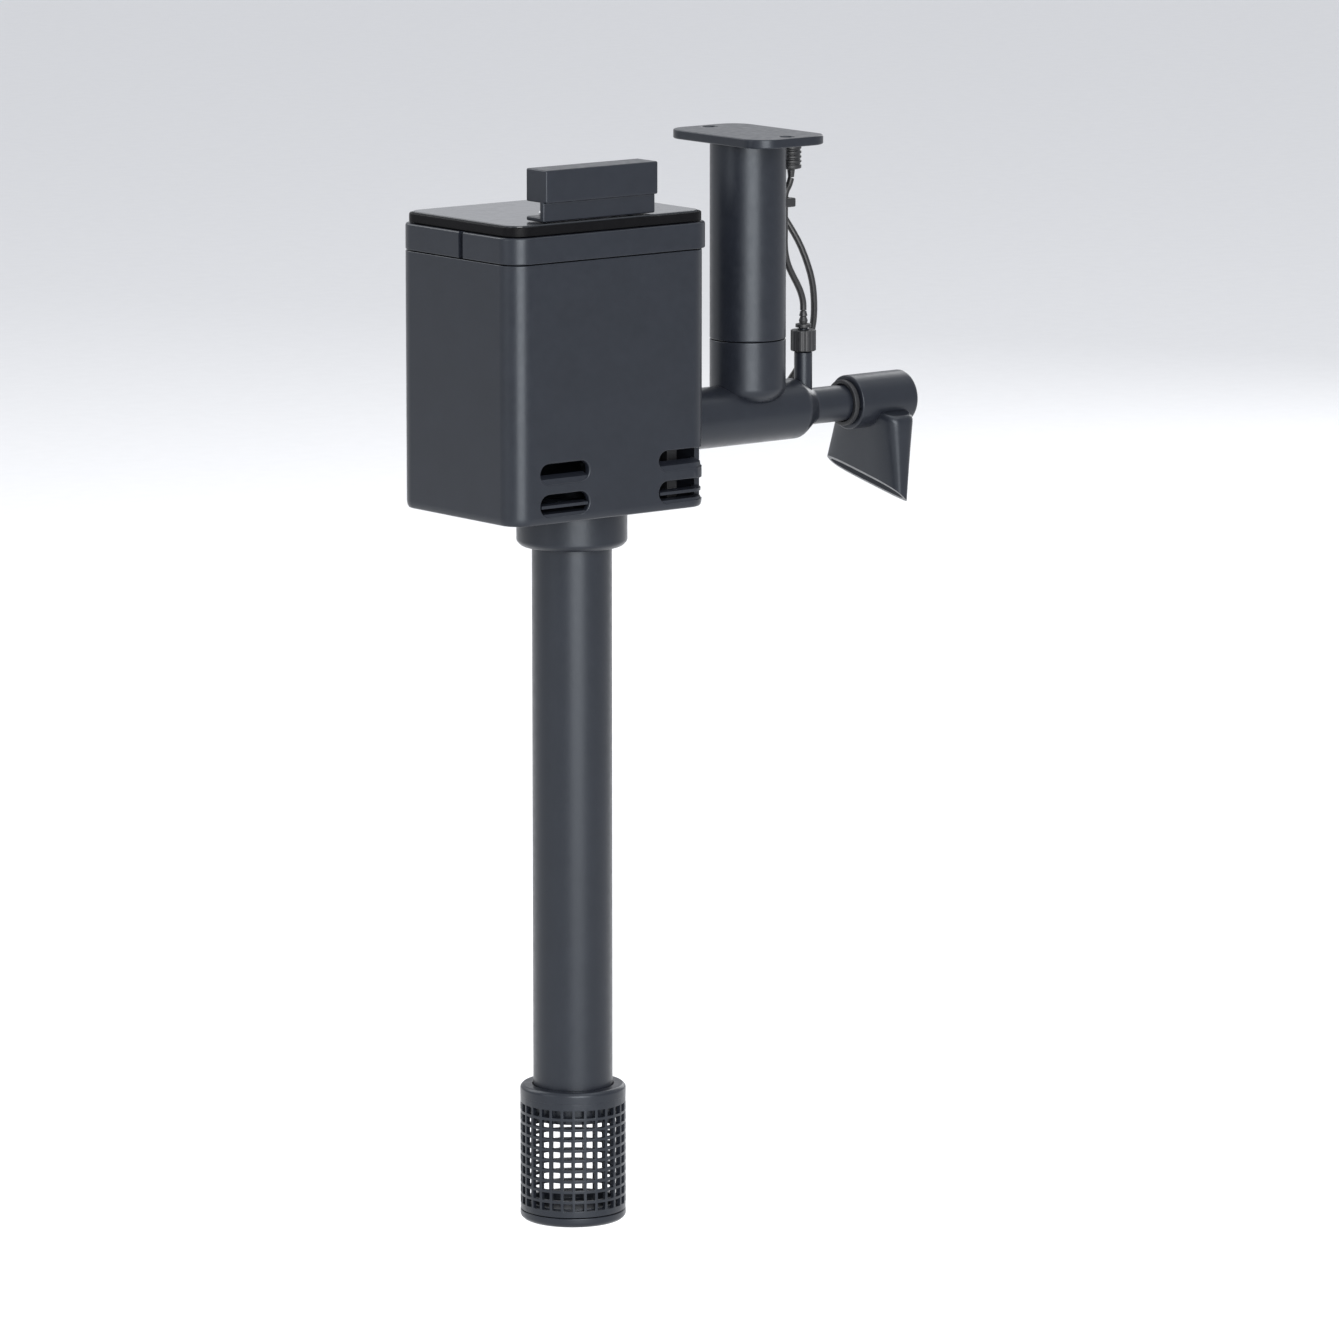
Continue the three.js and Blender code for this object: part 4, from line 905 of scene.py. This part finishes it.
def strainer():
    place = moved(INTAKE_X)
    outer, inner, socket = 17.3, 15.8, 14.6
    cage = lattice("strainer_lattice", inner, outer - 0.05, cage_low.z, SHOULDER + 0.1, place)
    bevelled(cage, 0.14, 2)
    ledge = SHOULDER + 0.2
    profile = [(TUBE_FIT, cage_high.z), (outer - 0.9, cage_high.z, 0.4), (outer, cage_high.z - 0.9, 0.5),
               (outer, SHOULDER), (inner, SHOULDER), (inner, ledge), (socket, ledge),
               (socket, SOCKET_FOOT), (TUBE_FIT, SOCKET_FOOT)]
    collar = turned("strainer_collar", profile, 0.2, ROUND, place)
    dress(collar, PLASTIC, body="strainer")
    dress(cage, PLASTIC, "strainer_cage", body="strainer")
    plug, recess, seat = inner - GAP, inner - GAP - 1.3, cage_low.z - GAP
    profile = [(0, foot_low.z), (outer - 1.2, foot_low.z, 0.8), (outer, foot_low.z + 1.2, 0.6),
               (outer, seat, 0.3), (plug, seat), (plug, cage_low.z + 2.5),
               (recess, cage_low.z + 2.5), (recess, cage_low.z - 0.8), (0, cage_low.z - 0.8)]
    foot = turned("strainer_end_cap", profile, 0.3, ROUND, place)
    dress(foot, PLASTIC, "strainer_foot", body="strainer")


intake()
strainer()

# --- pump, duct and upright cylinder
STUB_RADIUS, STUB_BORE, STUB_END = 6.0, 3.5, 50.5
STUB_GROOVE = (45.2, 47.2, 4.7)  # start, end and radius
DUCT_START = -44
CYLINDER = 12.5  # radius
CYLINDER_BORE = 11.2
CHAMBER_FOOT = -81.5
EYE_TOP = -80.5
POST_SHOULDER, POST_TOP = -74.3, -66.5
SCREW_HOLES = [-20, 20]


def pump_body():
    start, end, groove = STUB_GROOVE
    profile = [
        (0, DUCT_START), (DUCT_RADIUS, DUCT_START, 0.6), (DUCT_RADIUS, 19.3, 1.2), (STUB_RADIUS, 25.6, 1.0),
        (STUB_RADIUS, start), (groove, start), (groove, end), (STUB_RADIUS, end),
        (STUB_RADIUS, STUB_END, 0.6), (0, STUB_END),
    ]
    duct = turned("pump_body", profile, 0.2, ROUND, DUCT_LINE)
    profile = [(0, -88.4), (9.4, -88.4, 1.0), (CYLINDER, -85.2, 1.6), (CYLINDER, -68, 0.35), (0, -68)]
    saddle = turned("saddle", profile)
    profile = [(0, DUCT_Z + 3), (3, DUCT_Z + 3), (3, POST_SHOULDER, 0.4), (1.6, POST_SHOULDER),
               (1.6, POST_TOP), (0, POST_TOP)]
    post = turned("post", profile, 0.2, SMALL, moved(AIR_X))
    outlet = [(0, 6), (DUCT_BORE, 6, 1.0), (DUCT_BORE, 18.3, 1.0), (STUB_BORE, 23.2, 1.0),
              (STUB_BORE, STUB_END + PAST), (0, STUB_END + PAST)]
    tools = [
        rod("inlet", DUCT_BORE, -47, 4.5, DUCT_LINE, ROUND, (0.2, 1.0)),
        turned("outlet", outlet, 0.2, ROUND, DUCT_LINE),
        rod("chamber", 10.7, CHAMBER_FOOT, -67, None, ROUND, (0.8, 0.2)),
        rod("eye", 4.2, DUCT_Z, EYE_TOP),
        rod("port", 1.9, DUCT_Z, EYE_TOP, moved(8.6)),
        rod("air_bore", 0.7, DUCT_Z, POST_TOP + PAST, moved(AIR_X)),
    ]
    join(duct, saddle, post)
    cut(duct, *tools)
    dress(duct, PLASTIC, "pump_housing")


def motor_cylinder():
    foot, top = motor_low.z + 3.1, motor_high.z
    spigot, groove, well, well_foot = 10.4, 9.5, 7.6, -36.8
    profile = [
        (6.6, motor_low.z), (spigot, motor_low.z), (spigot, -69.9), (groove, -69.9), (groove, -68.5),
        (spigot, -68.5), (spigot, foot), (CYLINDER, foot, 0.35), (CYLINDER, top, 0.35),
        (CYLINDER_BORE, top), (CYLINDER_BORE, foot + 2), (well, foot + 2), (well, well_foot),
        (0, well_foot), (0, -38), (6.6, -38),
    ]
    body = turned("motor_cylinder", profile, 0.2)
    cut(body, rod("hole", 2.3, 9, 15, GLAND_LINE))
    dress(body, PLASTIC, "motor_housing")


def motor_flange():
    flange = slab("mounting_flange", 15.5, 25, 8, 1.5, (-3, 0.5), (0, 0.5), 0.4)
    plug, groove = 10.9, 9.9
    profile = [(0, -10), (plug, -10), (plug, -7.7), (groove, -7.7), (groove, -6), (plug, -6), (plug, -2.5),
               (0, -2.5)]
    join(flange, turned("plug", profile, 0.15))
    profile = [(0, -10), (1.8, -10), (1.8, -1.0), (3.1, 0.3), (3.1, 1), (0, 1)]
    cut(flange, *[turned("hole", profile, 0.05, SMALL, moved(y=y)) for y in SCREW_HOLES])
    dress(flange, PLASTIC, "motor_cap")


pump_body()
motor_cylinder()
motor_flange()


# --- air valve
def air_valve():
    flutes, per_flute, radius, depth = 10, 8, 4.2, 0.32
    outline = []
    for angle in angles_round(flutes * per_flute):
        reach = radius - depth * max(0.0, -cos(angle * flutes)) ** 1.5
        outline.append(polar(reach, angle))
    knob = prism("valve_knob", outline, knob_low.z, knob_high.z, moved(AIR_X))
    bevelled(knob, 0.35, 3, 60)
    cut(knob, rod("bore", 1.9, knob_low.z - PAST, knob_high.z + PAST, moved(AIR_X)))
    dress(knob, DARK, "air_knob", body="knob", sharp=50)
    foot, top, bore = -66.2, -60.8, 0.6
    profile = [(bore, foot), (2.6, foot), (2.6, -65.1), (1.3, -64.8), (1.5, -64), (1, -62.6), (1.4, -62.4),
               (1, top), (bore, top)]
    barb = turned("hose_barb", profile, 0.1, SMALL, moved(AIR_X))
    dress(barb, DARK, "air_barb")


def air_silencer():
    x, y, foot, top = 17.0, -1.4, -16.0, -4.5
    radius, groove = 3.4, 3.05
    profile = [(0, foot), (1, foot), (1.3, foot + 2.5), (radius, foot + 3, 0.4),
               *ribs(radius, groove, foot + 4.2, 1.5, 0.8, 4),
               (radius, top - 0.8, 0.5), (2.6, top, 0.4), (0, top)]
    body = turned("silencer_cup", profile, 0.12, SMALL, moved(x, y))
    join(body, block("pad", (12.9, y - 1.6, -10), (15, y + 1.6, -6)))
    dress(body, DARK, "air_silencer")


def line_clip():
    x, y, foot, top = 14.3, -1.5, -25.5, -22.5
    body = bevelled(block("line_saddle", (CYLINDER - 1, y - 3, foot), (16.7, y + 3, top)), 0.5)
    cut(body, rod("space", CYLINDER + GAP, foot - PAST, top + PAST, sides=ROUND),
        rod("hole", 1.4, foot - PAST, top + PAST, moved(x, y)))
    dress(body, DARK, "air_line_clip")


air_valve()
air_silencer()
line_clip()

# --- duckbill nozzle
NOZZLE_X = 42.0
NOZZLE_TILT = radians(12)
BILL_WIDE, BILL_THICK = (14.6, 20), (7, 3.8)  # half sizes at the root and at the mouth
MOUTH, LIP_DROP = -28, 3.2
BILL_CENTRE, BILL_WALL, HUB, HUB_LENGTH, HUB_BORE = 13.6, 1.5, 9.0, 24.0, 6.3
BILL_PAST = 4  # how far the bill is drawn below its mouth, before the mouth is cut
BILL_ROUND = 2.2  # rounding at the bill's top
BILL_BULGE = 0.62  # below 1, the section is fuller than an ellipse


def bill_section(z, half_thick, half_wide, count=72):
    section = []
    for angle in angles_round(count):
        c, s = polar(1, angle)
        section.append((BILL_CENTRE + half_thick * copysign(abs(c) ** BILL_BULGE, c),
                        half_wide * copysign(abs(s) ** BILL_BULGE, s), z))
    return section


def bill_loft(name, inset, top, end, place):
    """The bill's outside or inside: round at its top, then wider and thinner towards its mouth."""
    def half_at(z, root, mouth):
        return root + (mouth - root) * z / MOUTH

    sections = []
    for step in range(5):
        t = pi / 2 * step / 4
        z = top - BILL_ROUND * (1 - cos(t))
        shy = BILL_ROUND * (1 - sin(t))
        sections.append(bill_section(z, half_at(z, *BILL_THICK) - inset - shy * 0.6,
                                     half_at(z, *BILL_WIDE) - inset - shy))
    below = top - BILL_ROUND
    for step in range(1, 13):
        z = below + (end - below) * step / 12
        sections.append(bill_section(z, half_at(z, *BILL_THICK) - inset, half_at(z, *BILL_WIDE) - inset))
    return skinned(name, sections, False, place)


def nozzle():
    place = moved(NOZZLE_X, 0, DUCT_Z) @ Matrix.Rotation(NOZZLE_TILT, 4, "X")
    along = place @ ALONG_X
    barrel = rod("duckbill", HUB, 0, HUB_LENGTH, along, ROUND, (0.6, 1.5))
    hollow = rod("hollow", HUB_BORE, -PAST, HUB_LENGTH - 2, along, ROUND, (0.2, 0.8))
    end = MOUTH - BILL_PAST
    outside = bill_loft("outside", 0, -1.5, end, place)
    inside = bill_loft("inside", BILL_WALL, -3.2, end - PAST, place)
    tilt = atan2(LIP_DROP, BILL_THICK[1])
    mouth = block("mouth", (-30, -40, -30), (30, 40, 0))
    mouth.data.transform(Matrix.Scale(MM, 4) @ place @ moved(BILL_CENTRE, 0, MOUTH)
                         @ Matrix.Rotation(tilt, 4, "Y") @ Matrix.Scale(1 / MM, 4))
    join(barrel, outside)
    cut(barrel, hollow, inside, mouth)
    bevelled(barrel, 0.3, 2, 50)
    dress(barrel, PLASTIC, "duckbill_nozzle", body="nozzle", sharp=42)


def duct_rings():
    inner, outer, line = DUCT_RADIUS + GAP, DUCT_RADIUS + GAP + 1, DUCT_LINE
    dress(sleeve("stop_ring", 6.3, 7.6, 39.8, 41.6, 0.25, ROUND, line), DARK, "nozzle_stop_ring")
    dress(round_ring("nozzle_seal", 5.5, 0.62, 46.2, SMALL, line), RUBBER, "nozzle_oring")
    dress(sleeve("lock_ring", inner, outer, -43.8, -42.3, 0.25, ROUND, line), DARK, "duct_lock_ring")
    dress(sleeve("duct_gasket", inner, outer, -39.7, -38.4, 0.35, ROUND, line), RUBBER, "duct_seal")


nozzle()
duct_rings()


# --- hook and clip for the lead
def lead_holders():
    x = COIL_CENTRE.x
    wall = can_high.y + GAP
    peg_radius = 2
    peg_z = COIL_CENTRE.z + COIL_MIDDLE - COIL_HALF - GAP - peg_radius
    lip_y = COIL_CENTRE.y + COIL_HALF + 0.6
    base = bevelled(block("lead_hook", (x - 6, wall, peg_z - 6.5), (x + 6, wall + 1.8, peg_z + 7)), 0.6)
    peg_line = moved(x, wall + 1, peg_z) @ ALONG_Y
    peg = rod("peg", peg_radius, 0, lip_y + 0.7 - wall, peg_line, edges=(0.2, 0.2))
    lip = bevelled(block("lip", (x - 1.8, lip_y, peg_z - 1), (x + 1.8, lip_y + 1.7, peg_z + 6.5)), 0.5)
    join(base, peg, lip)
    dress(base, DARK, "cord_hook")
    low, high = box_mm("lead_clip")
    clip = bevelled(block("lead_saddle", (low.x, 9, low.z), high), 0.5)
    cut(clip, rod("space", DUCT_RADIUS + GAP, -20, 0, DUCT_LINE, ROUND),
        rod("hole", 1.5, -20, 0, moved(y=13) @ DUCT_LINE))
    dress(clip, DARK, "lead_clip")


lead_holders()

# --- inside the canister
GRID_SLOTS = [CAN_X + (-30 + 8 * k) for k in range(7)]
GRID_SLOT_WIDTH, GRID_SLOT_HALF = 4, 22
GRID_FOOT, GRID_TOP = -95, -93.5
GRID_LEGS = [(-31, -24), (-31, 24), (31, -20), (31, 20)]
CHANNEL_NOTCH = (26.1, 43, 13.4)  # first and last X from the canister's middle, and half width
PEG_INNER, PEG_OUTER = 25.5, 28.2
PEG_FOOT, PEG_TOP = -49.8, -47.8


def grid_tools(low, high):
    return [block("slot", (x, -GRID_SLOT_HALF, low), (x + GRID_SLOT_WIDTH, GRID_SLOT_HALF, high))
            for x in GRID_SLOTS]


def media_basket():
    low, high = box_mm("media_basket")
    half = (high - low) / 2
    x = (low.x + high.x) / 2
    wall, floor = 1.3, low.z + 1.4
    profile = [(2.5, low.z), (0, low.z, 0.9), (0, high.z, 0.4), (wall, high.z, 0.4), (wall, floor, 0.8),
               (wall + 2, floor)]
    basket = boxed("basket", half.x, half.y, 5, profile, 0.4, False, moved(x))
    peg_holes = block("peg_holes", (x - 2.6, -40, PEG_FOOT - 0.4), (x + 2.6, 40, PEG_TOP + 0.4))
    cut(basket, *grid_tools(low.z - PAST, floor + PAST), peg_holes)
    dress(basket, DARK, "media_basket", body="lid")


def cartridge_hanger():
    low, high = box_mm("cartridge_hanger")
    x = (low.x + high.x) / 2
    bar, bar_top, inner, outer = -36.3, -34.3, 24.6, 26.1
    hanger = block("basket_hanger", (x - 4.5, -outer, bar), (x + 4.5, outer, bar_top))
    parts = []
    for side in (-1, 1):
        near, far = sorted((side * inner, side * outer))
        parts.append(block("leg", (x - 4.49, near, low.z), (x + 4.49, far, bar + 1)))
        near, far = sorted((side * PEG_INNER, side * PEG_OUTER))
        parts.append(block("peg", (x - 2, near, PEG_FOOT), (x + 2, far, PEG_TOP)))
    parts.append(rod("boss", 4, bar_top - 1, high.z, moved(x)))
    join(hanger, *parts)
    bevelled(hanger, 0.3, 2)
    dress(hanger, DARK, "cartridge_hanger", body="lid")


def grid_and_channel():
    low, high = box_mm("media_grid")
    plate = slab("media_support", (high.x - low.x) / 2, (high.y - low.y) / 2, 5.2, 1, (GRID_FOOT,),
                 (GRID_TOP,), 0.3, moved(CAN_X))
    legs = [block("leg", (CAN_X + x - 2, y - 2, low.z), (CAN_X + x + 2, y + 2, GRID_FOOT + 0.5))
            for x, y in GRID_LEGS]
    first, last, half_width = CHANNEL_NOTCH
    notch = block("notch", (CAN_X + first, -half_width, -100), (CAN_X + last, half_width, -90))
    join(plate, *legs)
    cut(plate, notch, *grid_tools(GRID_FOOT - 1, GRID_TOP + 1.5))
    bevelled(plate, 0.2, 2)
    dress(plate, DARK, "media_grid")
    low, high = box_mm("clean_water_channel")
    wall = 1.5
    channel = block("clean_channel", low, high)
    cut(channel, block("space", (low.x + wall, low.y + wall, low.z + wall),
                       (high.x + PAST, high.y - wall, high.z + PAST)))
    bevelled(channel, 0.35)
    dress(channel, DARK, "clean_water_channel")


def soft_pad(name, node, finish, lump, fineness):
    """A block of filter media: full at the sides, a little uneven, and never larger than its CAD solid."""
    low, high = box_mm(node)
    half = (high - low) / 2
    edge = 1.6
    middle = moved((low.x + high.x) / 2)
    pad = slab(name, half.x, half.y, 3.6, edge, (low.z, edge), (high.z, edge), 1.0, middle)
    remesh = pad.modifiers.new("remesh", "REMESH")
    remesh.mode = "VOXEL"
    remesh.voxel_size = fineness * MM
    apply_modifiers(pad)
    normals = [v.normal.copy() for v in pad.data.vertices]
    for vertex, normal in zip(pad.data.vertices, normals):
        where = vertex.co / MM
        rough = 0.5 + 0.5 * noise.fractal(where * 0.22, 1.0, 2.0, 3)
        fine = 0.5 + 0.5 * noise.noise(where * 0.9)
        vertex.co -= normal * (lump * max(0.0, rough) + 0.35 * lump * fine) * MM
    dress(pad, finish, node, body="lid", sharp=180)


media_basket()
cartridge_hanger()
grid_and_channel()
soft_pad("sponge_block", "coarse_sponge", FOAM, 0.45, 1.3)
soft_pad("floss_layer", "filter_floss", FLOSS, 0.7, 1.1)
soft_pad("carbon_layer", "carbon_pad", CARBON, 0.5, 1.2)

# --- inside the pump
BOARD_TOP = -32.4
WINDINGS = [("winding_below", "lower_winding", -65.3, -62.3),
            ("winding_above", "upper_winding", -45.7, -42.6)]


def around_z(name, count, low, high, start=0.0):
    """Equal blocks placed evenly about the Z axis."""
    blocks = []
    for k in range(count):
        piece = block(name, low, high)
        piece.data.transform(about_z(2 * pi * (k + start) / count))
        blocks.append(piece)
    return blocks


def bearing_spider():
    foot, top = -84.5, -82.2
    hub = sleeve("bearing_spider", 1.35, 2.3, foot, top, 0.12, SMALL)
    rim = sleeve("rim", 3.1, 3.9, foot, top, 0.12, SMALL)
    join(hub, rim, *around_z("spoke", 3, (1.9, -0.5, foot + 0.1), (3.5, 0.5, top - 0.1)))
    dress(hub, DARK, "eye_spider")


def rotor():
    foot, top, radius, hub, shroud = -80.6, -71.4, 8.0, 2.8, 1.2
    under = top - shroud
    profile = [(1.3, foot), (hub, foot), (hub, under, 0.8), (radius, under), (radius, top), (1.3, top)]
    wheel = turned("impeller_wheel", profile, 0.2, SMALL)
    join(wheel, *around_z("vane", 6, (2, -0.5, foot + 0.4), (radius - 0.2, 0.5, under + 0.2)))
    bevelled(wheel, 0.15, 2)
    dress(wheel, ROTOR, "impeller", body="rotor")
    dress(rod("rotor_shaft", 1.2, -84.3, -38.6, edges=(0.3, 0.3)), CERAMIC, "shaft", body="rotor")
    dress(sleeve("magnet_core", 1.3, 5.9, -66, -44, 0.2, edge=0.5), MAGNET, "rotor_magnet", body="rotor")
    dress(sleeve("upper_bearing", 1.35, 6.3, -42, -38.3, 0.2, edge=0.4), RUBBER, "upper_bush")


def stator():
    inner, outer, foot, top = 7.9, 10.9, -62, -46
    core = sleeve("stator_stack", inner, outer, foot, top, 0.1)
    cut(core, *around_z("slot", 6, (7, -1.5, foot - PAST), (9.8, 1.5, top + PAST), 0.5))
    dress(core, IRON, "stator_core")
    for name, node, low, high in WINDINGS:
        dress(sleeve(name, 8.3, 10.6, low, high, 1.1), COPPER, node)


def driver():
    dress(rod("driver_circuit", 10.7, -34, BOARD_TOP, None, ROUND, (0.1, 0.1)), BOARD, "driver_board")
    seat = BOARD_TOP + GAP
    profile = [(0, seat), (2.4, seat, 0.3), (2.4, -31.2), (2.25, -31.0), (2.25, -30.7), (2.4, -30.5),
               (2.4, -26, 0.4), (2.0, -26), (1.9, -26.1), (0, -26.1)]
    dress(turned("capacitor", profile, 0.1, SMALL, moved(4, 3)), DARK, "board_capacitor")
    dress(sleeve("choke", 1, 2.8, seat, -28.6, 0.5, SMALL, moved(-4, -3)), IRON, "board_choke")


def motor_seals():
    dress(round_ring("chamber_gasket", 10.08, 0.4, -69.2), RUBBER, "chamber_seal")
    dress(round_ring("cap_gasket", 10.55, 0.48, -6.85), RUBBER, "cap_seal")


bearing_spider()
rotor()
stator()
driver()
motor_seals()
